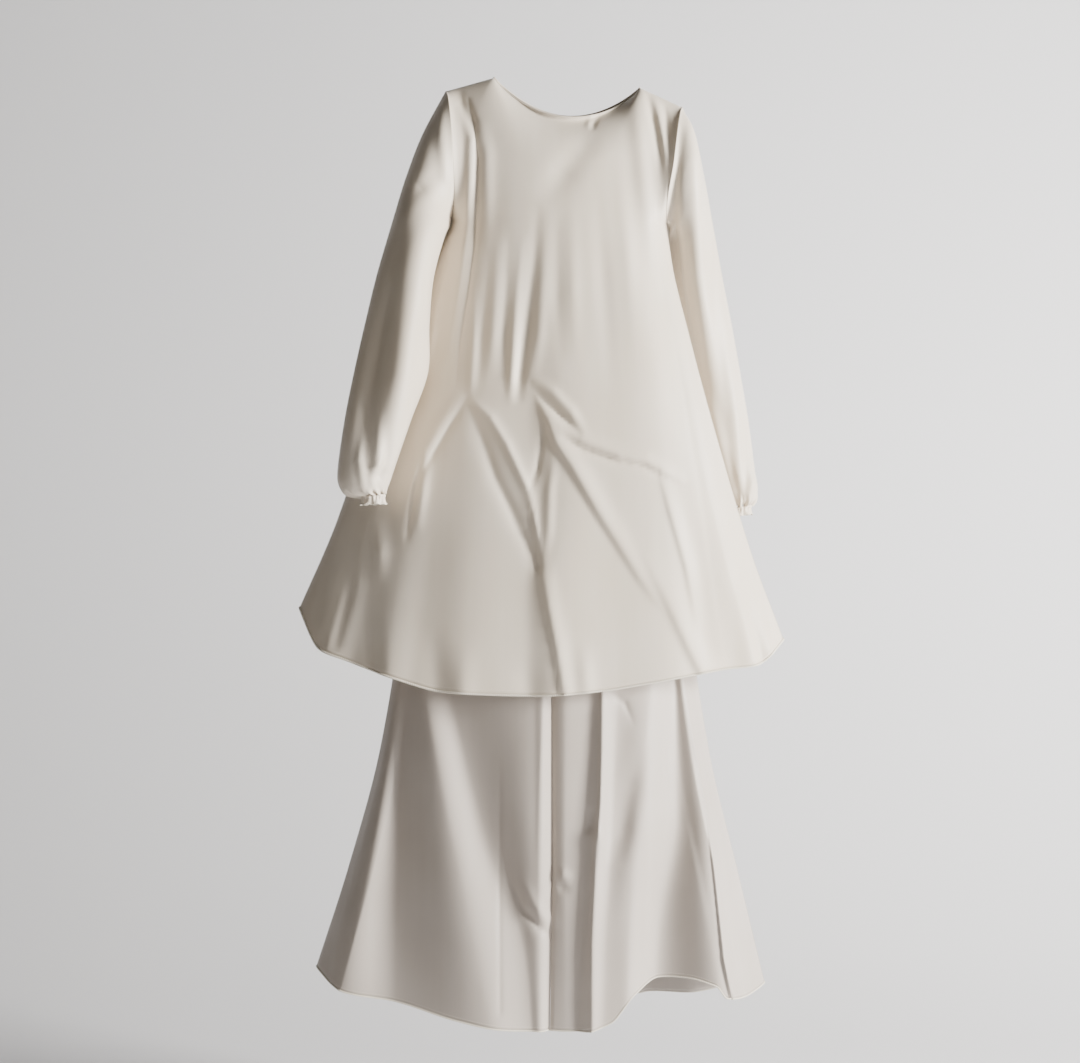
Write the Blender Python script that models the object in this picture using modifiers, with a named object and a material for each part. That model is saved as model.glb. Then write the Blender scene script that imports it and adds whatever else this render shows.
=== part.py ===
"""Baju kurung: a flared tunic with bishop sleeves, and the long flared skirt that hangs under it.

Metres, +Z up, and the front faces -Y. The origin is where the garment is held: midway between the two
neck points, which are the inner ends of the shoulder seams. Left and right are the wearer's, so the right
sleeve is at -X. The tunic hangs a little askew, with its left shoulder lower.

Each panel is an open sheet that a formula shapes from the short tables below, given a wall with Solidify.
"across" runs from 0 at the right side seam to 1 at the left one, and "down" from 0 at the top edge to 1 at
the hem.
"""

import math
from typing import NamedTuple

import bmesh
import bpy
from mathutils import Vector

CLOTH = 0.0012  # wall of the satin crepe, with its turnings
SEAM_GAP = 0.00036  # between two pieces that are sewn together
KINK_GAP = 0.0017  # between two pieces whose walls turn a corner at the seam

UNDERARM = 0.24  # share of the way down at which the armhole ends
NECK_RIGHT, NECK_LEFT = 0.205, 0.82  # shares across at which the neck points lie
NECK_SLOPE_RIGHT, NECK_SLOPE_LEFT = 0.0065, -0.0085  # heights of the two neck points
NECK_FADE = 0.40  # share of the way down at which the neckline stops shaping the panel
ARMHOLE_REACH = 0.048  # from the side line to the front or back of the armhole
ARMHOLE_BOW = {-1: 0.009, 1: -0.007}  # how far the armhole curves in towards the neck, right and left
NEAR_ARMHOLE, ROUND_ARMHOLE = 16, 4  # powers that say how far in from the edge the armhole is felt
ARMHOLE_FADE = 0.22  # share of the way down over which its soft shape goes
SIDE_POWER, SIDE_ROUND = 2.4, 0.6  # how square the section is, and how it rounds at the side seams

TUNIC_COLUMNS_SHOULDER, TUNIC_COLUMNS_NECK = 5, 12
TUNIC_ROWS_ARMHOLE, TUNIC_ROWS_BELOW = 8, 9
SKIRT_ROWS = 10
FLUTE_CLEAR = 0.03  # share across within which a seam takes the place of a flute line's own column
SIDE_SPLIT = 0.65  # where the column between a side seam and the nearest flute line lies, towards the seam
FLUTE_FADE = 0.15  # share of the way down at which the flutes begin
FACES_ROUND_CUFF = 28


class Level(NamedTuple):
    """One level of a tube made of a front and a back panel."""

    down: float
    right_x: float
    right_z: float
    left_x: float
    left_z: float
    right_y: float  # where the right side seam lies, front to back
    left_y: float
    front: float  # how far the front stands out from the line between the side seams
    back: float


TUNIC_LEVELS = (
    Level(0.00, -0.181, -0.014, 0.175, -0.038, 0.000, 0.000, 0.052, 0.050),
    Level(0.12, -0.177, -0.108, 0.166, -0.125, 0.002, -0.002, 0.054, 0.052),
    Level(0.24, -0.173, -0.205, 0.152, -0.213, 0.006, -0.006, 0.060, 0.060),
    Level(0.30, -0.195, -0.2515, 0.1565, -0.262, 0.010, -0.010, 0.063, 0.066),
    Level(0.45, -0.236, -0.366, 0.184, -0.385, 0.020, -0.022, 0.072, 0.080),
    Level(0.70, -0.311, -0.557, 0.240, -0.590, 0.028, -0.026, 0.092, 0.098),
    Level(0.85, -0.352, -0.672, 0.278, -0.712, 0.030, -0.018, 0.104, 0.098),
    Level(1.00, -0.403, -0.789, 0.325, -0.835, 0.030, -0.008, 0.118, 0.110),
)

SKIRT_LEVELS = (
    Level(0.00, -0.175, -0.4355, 0.125, -0.4355, 0.004, -0.004, 0.046, 0.044),
    Level(0.16, -0.222, -0.580, 0.168, -0.580, 0.006, -0.006, 0.064, 0.062),
    Level(0.40, -0.246, -0.795, 0.184, -0.795, 0.004, -0.004, 0.078, 0.078),
    Level(0.63, -0.279, -1.000, 0.215, -1.005, 0.000, 0.000, 0.090, 0.090),
    Level(0.83, -0.326, -1.175, 0.259, -1.188, 0.004, 0.004, 0.104, 0.100),
    Level(1.00, -0.375, -1.327, 0.2985, -1.351, 0.008, 0.008, 0.112, 0.108),
)


class HemPoint(NamedTuple):
    """How far the hem dips below the line between the bottoms of the side seams."""

    across: float
    front_dip: float
    back_dip: float


TUNIC_HEM = (
    HemPoint(0.00, 0.000, 0.000),
    HemPoint(0.05, 0.058, 0.030),
    HemPoint(0.10, 0.069, 0.048),
    HemPoint(0.20, 0.089, 0.068),
    HemPoint(0.31, 0.104, 0.082),
    HemPoint(0.47, 0.101, 0.092),
    HemPoint(0.62, 0.087, 0.088),
    HemPoint(0.72, 0.071, 0.076),
    HemPoint(0.87, 0.046, 0.050),
    HemPoint(0.94, 0.037, 0.024),
    HemPoint(1.00, 0.000, 0.000),
)

SKIRT_HEM = (
    HemPoint(0.00, 0.000, 0.000),
    HemPoint(0.07, 0.021, 0.014),
    HemPoint(0.20, 0.034, 0.026),
    HemPoint(0.32, 0.050, 0.034),
    HemPoint(0.47, 0.061, 0.040),
    HemPoint(0.59, 0.058, 0.046),
    HemPoint(0.65, 0.045, 0.050),
    HemPoint(0.70, 0.006, 0.050),
    HemPoint(0.76, -0.018, 0.044),
    HemPoint(0.82, -0.020, 0.036),
    HemPoint(0.88, -0.012, 0.030),
    HemPoint(0.905, 0.006, 0.026),
    HemPoint(0.95, 0.008, 0.012),
    HemPoint(1.00, 0.000, 0.000),
)


class Fold(NamedTuple):
    """A soft ridge, or a trough where rise is negative, along a line on a panel."""

    top_x: float
    top_z: float
    foot_x: float
    foot_z: float
    width: float  # from its line to where it has mostly gone
    rise: float  # at its foot, away from the inside of the garment
    rise_top: float


TUNIC_FRONT_FOLDS = (
    Fold(-0.137, -0.060, -0.160, -0.470, 0.014, 0.004, 0.007),  # from the right shoulder down
    Fold(-0.122, -0.060, -0.142, -0.470, 0.010, -0.003, -0.004),
    Fold(0.118, -0.050, 0.158, -0.330, 0.016, 0.001, 0.006),  # beside the left neck point
    Fold(0.148, -0.050, 0.155, -0.210, 0.009, -0.001, -0.005),
    Fold(-0.148, -0.470, -0.040, -0.735, 0.012, -0.005, -0.002),  # crease leaning right to left
    Fold(-0.142, -0.480, -0.042, -0.728, 0.012, 0.005, 0.002),
    Fold(-0.050, -0.470, 0.122, -0.756, 0.014, 0.002, 0.004),  # long crease to the left hem
    Fold(-0.010, -0.528, 0.150, -0.585, 0.010, -0.003, -0.003),  # short crease across
    Fold(-0.150, -0.480, -0.234, -0.680, 0.014, 0.003, 0.003),
    Fold(-0.034, -0.735, -0.012, -0.912, 0.010, -0.003, -0.003),  # pressed line at the centre
)

TUNIC_BACK_FOLDS = (
    Fold(-0.130, -0.060, -0.140, -0.360, 0.016, 0.001, 0.006),  # from the shoulders down
    Fold(0.118, -0.060, 0.140, -0.340, 0.016, 0.001, 0.006),
)


class Flute(NamedTuple):
    """A ridge or valley that runs down a panel: its x and its rise at four shares of the way down."""

    x_top: float
    x_upper: float
    x_lower: float
    x_hem: float
    rise_top: float
    rise_upper: float
    rise_lower: float
    rise_hem: float


TUNIC_FLUTE_DOWNS = (0.45, 0.70, 0.85, 1.0)
SKIRT_FLUTE_DOWNS = (0.52, 0.73, 0.90, 1.0)

TUNIC_FRONT_FLUTES = (
    Flute(-0.216, -0.278, -0.316, -0.358, 0.000, 0.001, 0.003, 0.006),
    Flute(-0.202, -0.250, -0.284, -0.312, 0.000, -0.001, -0.002, -0.005),
    Flute(-0.186, -0.220, -0.244, -0.264, 0.000, 0.001, 0.001, 0.003),
    Flute(-0.160, -0.185, -0.205, -0.218, 0.000, 0.000, -0.001, -0.002),
    Flute(-0.128, -0.138, -0.146, -0.150, 0.001, 0.001, 0.002, 0.002),
    Flute(-0.060, -0.056, -0.058, -0.060, -0.002, -0.001, -0.001, -0.001),
    Flute(-0.010, 0.000, -0.020, -0.014, 0.001, 0.003, 0.005, 0.005),
    Flute(0.060, 0.068, 0.074, 0.075, -0.001, 0.000, -0.001, -0.001),
    Flute(0.118, 0.138, 0.148, 0.152, 0.002, 0.001, 0.001, 0.002),
    Flute(0.158, 0.192, 0.212, 0.232, -0.001, -0.002, -0.004, -0.006),
    Flute(0.172, 0.218, 0.250, 0.284, 0.000, 0.003, 0.006, 0.007),
)

TUNIC_BACK_FLUTES = (
    Flute(-0.205, -0.262, -0.296, -0.330, 0.002, 0.006, 0.010, 0.012),
    Flute(-0.165, -0.210, -0.238, -0.262, -0.003, -0.006, -0.010, -0.012),
    Flute(-0.115, -0.145, -0.160, -0.175, 0.004, 0.008, 0.011, 0.013),
    Flute(-0.062, -0.078, -0.085, -0.092, -0.003, -0.006, -0.009, -0.012),
    Flute(-0.008, 0.000, 0.002, 0.004, 0.004, 0.008, 0.011, 0.013),
    Flute(0.045, 0.062, 0.072, 0.084, -0.003, -0.006, -0.009, -0.012),
    Flute(0.098, 0.125, 0.145, 0.165, 0.004, 0.008, 0.011, 0.013),
    Flute(0.135, 0.170, 0.195, 0.220, -0.002, -0.005, -0.008, -0.010),
    Flute(0.160, 0.208, 0.238, 0.270, 0.001, 0.005, 0.008, 0.010),
)

SKIRT_FRONT_FLUTES = (
    Flute(-0.252, -0.290, -0.330, -0.348, 0.003, 0.022, 0.026, 0.022),
    Flute(-0.240, -0.248, -0.250, -0.250, -0.002, -0.014, -0.018, -0.016),
    Flute(-0.211, -0.172, -0.134, -0.112, 0.004, -0.002, 0.004, 0.005),
    Flute(-0.171, -0.118, -0.062, -0.052, -0.013, -0.021, -0.013, -0.009),
    Flute(-0.036, -0.043, -0.041, -0.040, 0.007, 0.000, -0.008, -0.006),
    Flute(-0.021, -0.022, -0.023, -0.024, 0.001, -0.009, -0.014, -0.013),
    Flute(0.000, -0.001, 0.000, 0.000, 0.005, -0.004, -0.009, -0.009),
    Flute(0.032, 0.026, 0.018, 0.014, 0.003, -0.004, -0.008, -0.008),
    Flute(0.053, 0.047, 0.036, 0.034, 0.008, 0.005, 0.003, 0.003),
    Flute(0.078, 0.068, 0.058, 0.056, 0.002, -0.002, -0.001, 0.000),
    Flute(0.122, 0.104, 0.088, 0.084, 0.006, 0.007, 0.001, 0.001),
    Flute(0.160, 0.161, 0.138, 0.133, -0.006, -0.013, -0.022, -0.026),
    Flute(0.174, 0.210, 0.226, 0.238, 0.005, 0.022, 0.030, 0.030),
)

SKIRT_BACK_FLUTES = (
    Flute(-0.215, -0.250, -0.285, -0.305, 0.004, 0.009, 0.014, 0.016),
    Flute(-0.186, -0.208, -0.226, -0.236, -0.005, -0.010, -0.015, -0.017),
    Flute(-0.150, -0.158, -0.164, -0.168, 0.005, 0.008, 0.012, 0.013),
    Flute(-0.110, -0.114, -0.117, -0.118, -0.002, -0.004, -0.006, -0.007),
    Flute(-0.080, -0.082, -0.084, -0.084, 0.003, 0.005, 0.007, 0.008),
    Flute(-0.032, -0.033, -0.036, -0.038, -0.003, -0.006, -0.008, -0.009),  # centre seam
    Flute(0.012, 0.015, 0.018, 0.020, 0.005, 0.009, 0.012, 0.014),
    Flute(0.050, 0.060, 0.068, 0.072, -0.005, -0.009, -0.012, -0.014),
    Flute(0.090, 0.108, 0.120, 0.130, 0.005, 0.010, 0.014, 0.016),
    Flute(0.130, 0.155, 0.176, 0.190, -0.005, -0.010, -0.014, -0.016),
    Flute(0.162, 0.198, 0.230, 0.250, 0.003, 0.007, 0.012, 0.014),
)


class Ring(NamedTuple):
    """One ring of a sleeve or cuff: its inner and outer points seen from the front, and its depth."""

    inner_x: float
    inner_z: float
    outer_x: float
    outer_z: float
    middle_y: float
    half_depth: float


RIGHT_SLEEVE = (
    Ring(-0.1775, -0.2110, -0.2145, -0.0780, -0.002, 0.052),
    Ring(-0.1790, -0.2200, -0.2400, -0.1470, -0.010, 0.054),
    Ring(-0.1840, -0.2380, -0.2607, -0.2220, -0.028, 0.053),
    Ring(-0.1960, -0.3000, -0.2800, -0.2960, -0.048, 0.051),
    Ring(-0.2015, -0.3690, -0.2965, -0.3690, -0.060, 0.048),
    Ring(-0.2030, -0.4400, -0.3116, -0.4400, -0.069, 0.045),
    Ring(-0.2275, -0.5110, -0.3250, -0.5110, -0.075, 0.043),
    Ring(-0.2500, -0.5770, -0.3346, -0.5815, -0.078, 0.040),
    Ring(-0.2580, -0.6010, -0.3330, -0.6070, -0.078, 0.037),
    Ring(-0.2630, -0.6135, -0.3225, -0.6195, -0.078, 0.029),
    Ring(-0.2655, -0.6185, -0.2990, -0.6215, -0.078, 0.017),
)

LEFT_SLEEVE = (
    Ring(0.1575, -0.2190, 0.1940, -0.0820, 0.003, 0.052),
    Ring(0.1585, -0.2290, 0.2090, -0.1450, 0.012, 0.052),
    Ring(0.1580, -0.2460, 0.2236, -0.2160, 0.028, 0.050),
    Ring(0.1640, -0.3000, 0.2390, -0.2920, 0.042, 0.047),
    Ring(0.1780, -0.3660, 0.2535, -0.3605, 0.050, 0.045),
    Ring(0.1900, -0.4360, 0.2670, -0.4335, 0.054, 0.042),
    Ring(0.2060, -0.5080, 0.2795, -0.5060, 0.056, 0.040),
    Ring(0.2290, -0.5780, 0.2890, -0.5780, 0.057, 0.038),
    Ring(0.2390, -0.6060, 0.2935, -0.6050, 0.057, 0.035),
    Ring(0.2470, -0.6270, 0.2915, -0.6240, 0.056, 0.027),
    Ring(0.2545, -0.6375, 0.2830, -0.6325, 0.055, 0.0165),
)

CUFF_DROPS = (0.0005, 0.0055, 0.0095, 0.0140)  # below the sleeve's last ring: casing, then frill
CUFF_SWELL = (0.0000, 0.0004, 0.0006, 0.0030)  # how much wider than the sleeve's last ring
FRILL_WAVES, FRILL_DEPTH = 7, 0.0020

WAIST_TOP, WAIST_FOOT = -0.3950, -0.4352
SKIRT_CENTRE_FRONT, SKIRT_CENTRE_BACK = 0.52, 0.5  # shares across of the two centre seams
NECK_ROLL = 0.0013  # radius of the rolled binding round the neck
NECK_LIFT = 0.0014  # from the panels' top edge to the binding

IVORY = (0.66, 0.62, 0.56, 1.0)
SILVER = (0.60, 0.57, 0.54, 1.0)
CREAM = (0.74, 0.69, 0.60, 1.0)
SATIN_ROUGHNESS = 0.5


def curve_through(keys, values, at):
    """Value at a point of the smooth curve through the given ones. It never overshoots them."""
    if at <= keys[0]:
        return values[0]
    if at >= keys[-1]:
        return values[-1]
    i = next(n for n in range(len(keys) - 1) if at <= keys[n + 1])
    spans = [keys[n + 1] - keys[n] for n in range(len(keys) - 1)]
    slopes = [(values[n + 1] - values[n]) / spans[n] for n in range(len(spans))]

    def tangent(n):
        if n == 0:
            return slopes[0]
        if n == len(spans):
            return slopes[-1]
        before, after = slopes[n - 1], slopes[n]
        return 0.0 if before * after <= 0 else 2 * before * after / (before + after)

    h = spans[i]
    t = (at - keys[i]) / h
    return (
        values[i] * (1 + 2 * t) * (1 - t) ** 2
        + values[i + 1] * t * t * (3 - 2 * t)
        + h * t * (1 - t) * (tangent(i) * (1 - t) - tangent(i + 1) * t)
    )


def column(table, key, name, at):
    """Value of one column of a table at a point between its rows."""
    return curve_through([getattr(r, key) for r in table], [getattr(r, name) for r in table], at)


def mix(a, b, share):
    return a + (b - a) * share


def fold_height(folds, x, z):
    """How far the folds together push the cloth out at a point seen from the front."""
    height = 0.0
    for fold in folds:
        along_x, along_z = fold.foot_x - fold.top_x, fold.foot_z - fold.top_z
        length = math.hypot(along_x, along_z)
        t = ((x - fold.top_x) * along_x + (z - fold.top_z) * along_z) / length**2
        away = ((x - fold.top_x) * along_z - (z - fold.top_z) * along_x) / length
        past_end = length * max(-t, t - 1.0, 0.0) / (2.0 * fold.width)
        rise = mix(fold.rise_top, fold.rise, min(max(t, 0.0), 1.0))
        height += rise * math.exp(-((away / fold.width) ** 2) - past_end**2)
    return height


class Tube:
    """The form that a front and a back panel make together."""

    def __init__(self, levels, hem, folds, flutes, flute_downs, neck_drop=None, neck_reach=None):
        self.levels, self.hem, self.folds = levels, hem, folds
        self.flutes, self.flute_downs = flutes, flute_downs
        self.neck_drop, self.neck_reach = neck_drop, neck_reach

    def level(self, name, down):
        return column(self.levels, "down", name, down)

    def seam_y(self, across, down):
        return mix(self.level("right_y", down), self.level("left_y", down), across)

    def flute_shares(self, down, side):
        """Shares across at which the lines of the flutes lie. Above their top they keep their shares."""
        at = max(down, self.flute_downs[0])
        right, left = self.level("right_x", at), self.level("left_x", at)
        places = [curve_through(self.flute_downs, flute[:4], at) for flute in self.flutes[side]]
        return [(place - right) / (left - right) for place in places]

    def flute_height(self, across, down, side):
        """How far the flutes push the cloth out."""
        top = self.flute_downs[0]
        fade = min(max((down - FLUTE_FADE) / (top - FLUTE_FADE), 0.0), 1.0)
        rises = [curve_through(self.flute_downs, flute[4:], max(down, top)) for flute in self.flutes[side]]
        shares = [0.0] + self.flute_shares(down, side) + [1.0]
        return curve_through(shares, [0.0] + rises + [0.0], across) * fade * fade * (3 - 2 * fade)

    def armhole(self, down):
        """0 on top of the shoulder and at the underarm, 1 half way between, 0 below."""
        if self.neck_drop is None or down >= UNDERARM:
            return 0.0
        return math.sqrt(max(0.0, 1 - (1 - 2 * down / UNDERARM) ** 2))

    def armhole_shape(self, down, off_centre):
        """How much of the armhole's shape is felt at a point: sharp at its edge, and soft further in."""
        if self.neck_drop is None:
            return 0.0
        soft_turn = min(1.0, abs(down - UNDERARM / 2) / ARMHOLE_FADE)
        soft = math.cos(math.pi / 2 * soft_turn) ** 2
        near, round_it = off_centre**NEAR_ARMHOLE, off_centre**ROUND_ARMHOLE
        return self.armhole(down) * near + soft * (round_it - near)

    def shoulder(self, down):
        """0 at the shoulder seam, rising to 1 half way down the armhole, where the depth is full."""
        if self.neck_drop is None or down >= UNDERARM / 2:
            return 1.0
        return self.armhole(down)

    def neck(self, across):
        """0 at and outside the neck points, 1 at the middle of the neckline."""
        if self.neck_drop is None:
            return 0.0
        share = 2 * (across - NECK_RIGHT) / (NECK_LEFT - NECK_RIGHT) - 1
        return max(0.0, 1 - share * share)

    def top_line(self, across, side):
        """Height of the top edge above the line between the outer ends of the shoulder seams."""
        if self.neck_drop is None:
            return 0.0
        ends = (self.levels[0].right_z, NECK_SLOPE_RIGHT, NECK_SLOPE_LEFT, self.levels[0].left_z)
        shares = (0.0, NECK_RIGHT, NECK_LEFT, 1.0)
        i = 0 if across <= NECK_RIGHT else 1 if across <= NECK_LEFT else 2
        share = (across - shares[i]) / (shares[i + 1] - shares[i])
        height = mix(ends[i], ends[i + 1], share) - mix(ends[0], ends[3], across)
        return height - self.neck_drop[side] * self.neck(across) ** 0.9

    def point(self, across, down, side):
        """A point of the outer face. side is -1 on the front and 1 on the back."""
        dip = column(self.hem, "across", "front_dip" if side < 0 else "back_dip", across)
        fade = max(0.0, 1 - down / NECK_FADE) ** 2
        z = mix(self.level("right_z", down), self.level("left_z", down), across)
        z += self.top_line(across, side) * fade - dip * down**2
        x = mix(self.level("right_x", down), self.level("left_x", down), across)
        off_centre = abs(2 * across - 1)
        bow = self.armhole_shape(down, off_centre)
        x += ARMHOLE_BOW[-1 if across < 0.5 else 1] * bow
        full = self.level("front" if side < 0 else "back", down) * self.shoulder(down)
        square = (1 - off_centre**SIDE_POWER) ** SIDE_ROUND
        reach = full * square + ARMHOLE_REACH * bow * (1 - square)
        if self.neck_reach:
            round_neck = self.neck_reach[side] * math.sqrt(self.neck(across))
            reach = max(reach, mix(round_neck, reach, self.shoulder(down)))
        ease = min(1.0, 16 * min(across, 1 - across)) * min(1.0, reach / 0.02)
        reach += (fold_height(self.folds[side], x, z) + self.flute_height(across, down, side)) * ease
        return Vector((x, self.seam_y(across, down) + side * reach, z))


TUNIC = Tube(
    TUNIC_LEVELS,
    TUNIC_HEM,
    {-1: TUNIC_FRONT_FOLDS, 1: TUNIC_BACK_FOLDS},
    {-1: TUNIC_FRONT_FLUTES, 1: TUNIC_BACK_FLUTES},
    TUNIC_FLUTE_DOWNS,
    neck_drop={-1: 0.058, 1: 0.046},
    neck_reach={-1: 0.036, 1: 0.028},
)
SKIRT = Tube(
    SKIRT_LEVELS,
    SKIRT_HEM,
    {-1: (), 1: ()},
    {-1: SKIRT_FRONT_FLUTES, 1: SKIRT_BACK_FLUTES},
    SKIRT_FLUTE_DOWNS,
)


def clear_scene():
    for old in list(bpy.data.objects):
        bpy.data.objects.remove(old)


def satin(name, colour):
    """A material for one piece of cloth."""
    material = bpy.data.materials.new(name)
    material.use_nodes = True
    shader = material.node_tree.nodes["Principled BSDF"]
    shader.inputs["Base Color"].default_value = colour
    shader.inputs["Roughness"].default_value = SATIN_ROUGHNESS
    shader.inputs["Metallic"].default_value = 0.0
    return material


def sheet(name, collection, colour, columns, rows, place, closed=False):
    """An open sheet: a grid whose corners place() puts where the cloth is. It faces outwards."""
    grid = bmesh.new()
    bmesh.ops.create_grid(grid, x_segments=columns, y_segments=rows, size=0.5)
    for vertex in grid.verts:
        column_number = round((vertex.co.x + 0.5) * columns)
        row_number = round((0.5 - vertex.co.y) * rows)
        vertex.co = place(column_number, row_number)
    if closed:
        bmesh.ops.remove_doubles(grid, verts=grid.verts, dist=1e-6)
    mesh = bpy.data.meshes.new(name)
    grid.to_mesh(mesh)
    grid.free()
    mesh.shade_smooth()
    cloth = bpy.data.objects.new(name, mesh)
    cloth.data.materials.append(satin(name, colour))
    collection.objects.link(cloth)
    return cloth


def give_wall(cloth, inwards=True):
    """Turns an open sheet into a wall, and makes the modifier's result its mesh."""
    wall = cloth.modifiers.new("wall", "SOLIDIFY")
    wall.thickness = CLOTH
    wall.offset = -1.0 if inwards else 1.0
    wall.use_even_offset = True
    wall.thickness_clamp = 1.0
    graph = bpy.context.evaluated_depsgraph_get()
    walled = bpy.data.meshes.new_from_object(cloth.evaluated_get(graph))
    cloth.modifiers.clear()
    open_sheet = cloth.data
    cloth.data = walled
    bpy.data.meshes.remove(open_sheet)
    walled.name = cloth.name


def side_seam_y(tube, z, left):
    """Where a side seam lies, front to back, at a height."""
    heights = [(r.left_z if left else r.right_z) for r in tube.levels]
    depths = [(r.left_y if left else r.right_y) for r in tube.levels]
    return curve_through([-h for h in heights], depths, -z)


def trim_at_seams(cloth, tube, side):
    """Keeps a panel's wall on its own side of the side seams and the shoulder seams."""
    middle = (tube.levels[0].right_x + tube.levels[0].left_x) / 2
    for vertex in cloth.data.vertices:
        seam = side_seam_y(tube, vertex.co.z, vertex.co.x > middle)
        limit = seam + side * SEAM_GAP / 2
        if (vertex.co.y - limit) * side < 0:
            vertex.co.y = limit


def tunic_columns():
    """Shares across of the tunic panels' columns: close together at the side seams and neck points."""
    shoulder = [
        1 - math.cos(math.pi / 2 * n / TUNIC_COLUMNS_SHOULDER) for n in range(TUNIC_COLUMNS_SHOULDER)
    ]
    neck = [(1 - math.cos(math.pi * n / TUNIC_COLUMNS_NECK)) / 2 for n in range(TUNIC_COLUMNS_NECK + 1)]
    right = [NECK_RIGHT * s for s in shoulder]
    middle = [mix(NECK_RIGHT, NECK_LEFT, s) for s in neck]
    left = [1 - (1 - NECK_LEFT) * s for s in reversed(shoulder)]
    return right + middle + left


def tunic_rows():
    """Shares down of the tunic panels' rows. The first ones match the columns of a sleeve."""
    turn = math.pi / TUNIC_ROWS_ARMHOLE
    armhole = [UNDERARM * (1 - math.cos(turn * n)) / 2 for n in range(TUNIC_ROWS_ARMHOLE)]
    below = [mix(UNDERARM, 1.0, n / TUNIC_ROWS_BELOW) for n in range(TUNIC_ROWS_BELOW + 1)]
    return armhole + below


def outward_order(side, columns):
    """Column numbers in the order that makes a panel face away from the inside."""
    return range(columns + 1) if side < 0 else range(columns, -1, -1)


def make_tunic_panel(name, side, collection):
    shares, downs = tunic_columns(), tunic_rows()
    order = outward_order(side, len(shares) - 1)

    def place(column_number, row_number):
        point = TUNIC.point(shares[order[column_number]], downs[row_number], side)
        point.y += side * SEAM_GAP / 2
        return point

    panel = sheet(name, collection, IVORY, len(shares) - 1, len(downs) - 1, place)
    give_wall(panel)
    trim_at_seams(panel, TUNIC, side)


def skirt_columns(start, end, down, side):
    """Shares across of a skirt panel's columns: on the lines of its flutes, and between them."""
    inside = [
        share
        for share, at_hem in zip(SKIRT.flute_shares(down, side), SKIRT.flute_shares(1.0, side), strict=True)
        if start + FLUTE_CLEAR < at_hem < end - FLUTE_CLEAR
    ]
    knots = [start] + inside + [end]
    shares = []
    for low, high in zip(knots[:-1], knots[1:], strict=True):
        between = 0.5
        if low == 0:
            between = 1 - SIDE_SPLIT
        elif high == 1:
            between = SIDE_SPLIT
        shares += [low, mix(low, high, between)]
    return shares + [end]


def make_skirt_panel(name, side, start, end, collection):
    """A quarter of the skirt, from one share across to another."""
    width = SKIRT.levels[0].left_x - SKIRT.levels[0].right_x
    gap = SEAM_GAP / 2 / width
    start_here = start if start == 0 else start + gap
    end_here = end if end == 1 else end - gap
    downs = [n / SKIRT_ROWS for n in range(SKIRT_ROWS + 1)]
    rows = [skirt_columns(start_here, end_here, down, side) for down in downs]
    columns = len(rows[0]) - 1
    order = outward_order(side, columns)

    def place(column_number, row_number):
        point = SKIRT.point(rows[row_number][order[column_number]], downs[row_number], side)
        point.y += side * SEAM_GAP / 2
        return point

    panel = sheet(name, collection, SILVER, columns, SKIRT_ROWS, place)
    give_wall(panel)
    trim_at_seams(panel, SKIRT, side)


def ring_point(ring, angle, wave=0.0):
    """A point of a ring. Angle 0 is its outer point, and a quarter turn on is its front."""
    inner = Vector((ring.inner_x, ring.middle_y, ring.inner_z))
    outer = Vector((ring.outer_x, ring.middle_y, ring.outer_z))
    half = (outer - inner) / 2
    centre = (outer + inner) / 2
    swell = 1 + wave
    depth = Vector((0, -ring.half_depth, 0))
    return centre + (half * math.cos(angle) + depth * math.sin(angle)) * swell


def armhole_ring(left):
    """The points round an armhole, from the shoulder down the front and up the back, clear of the panels."""
    across, outwards = (1.0, 1.0) if left else (0.0, -1.0)
    downs = tunic_rows()[: TUNIC_ROWS_ARMHOLE + 1]
    front = [TUNIC.point(across, d, -1) for d in downs]
    back = [TUNIC.point(across, d, 1) for d in reversed(downs[1:-1])]
    return [p + Vector((outwards * KINK_GAP, 0, 0)) for p in front + back]


def make_sleeve(name, rings, left, collection):
    """A sleeve: from the ring of its armhole to the one where it is gathered into the cuff."""
    armhole = armhole_ring(left)
    columns = len(armhole)

    def place(column_number, row_number):
        n = column_number % columns
        if left:
            n = -n % columns
        if row_number == 0:
            return armhole[n]
        return ring_point(rings[row_number - 1], 2 * math.pi * n / columns)

    sleeve = sheet(name, collection, IVORY, columns, len(rings), place, closed=True)
    give_wall(sleeve)


def make_cuff(name, rings, left, collection):
    """The narrow casing that the sleeve is gathered into, and the small frill below it."""
    last = rings[-1]

    def place(column_number, row_number):
        angle = 2 * math.pi * column_number / FACES_ROUND_CUFF * (-1 if left else 1)
        drop, swell = CUFF_DROPS[row_number], CUFF_SWELL[row_number]
        outwards = math.copysign(swell, last.outer_x)
        ring = Ring(
            last.inner_x - outwards,
            last.inner_z - drop,
            last.outer_x + outwards,
            last.outer_z - drop,
            last.middle_y,
            last.half_depth + swell,
        )
        frill = FRILL_DEPTH * swell / CUFF_SWELL[-1] / last.half_depth
        return ring_point(ring, angle, frill * math.sin(FRILL_WAVES * angle))

    cuff = sheet(name, collection, CREAM, FACES_ROUND_CUFF, len(CUFF_DROPS) - 1, place, closed=True)
    give_wall(cuff)


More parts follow.
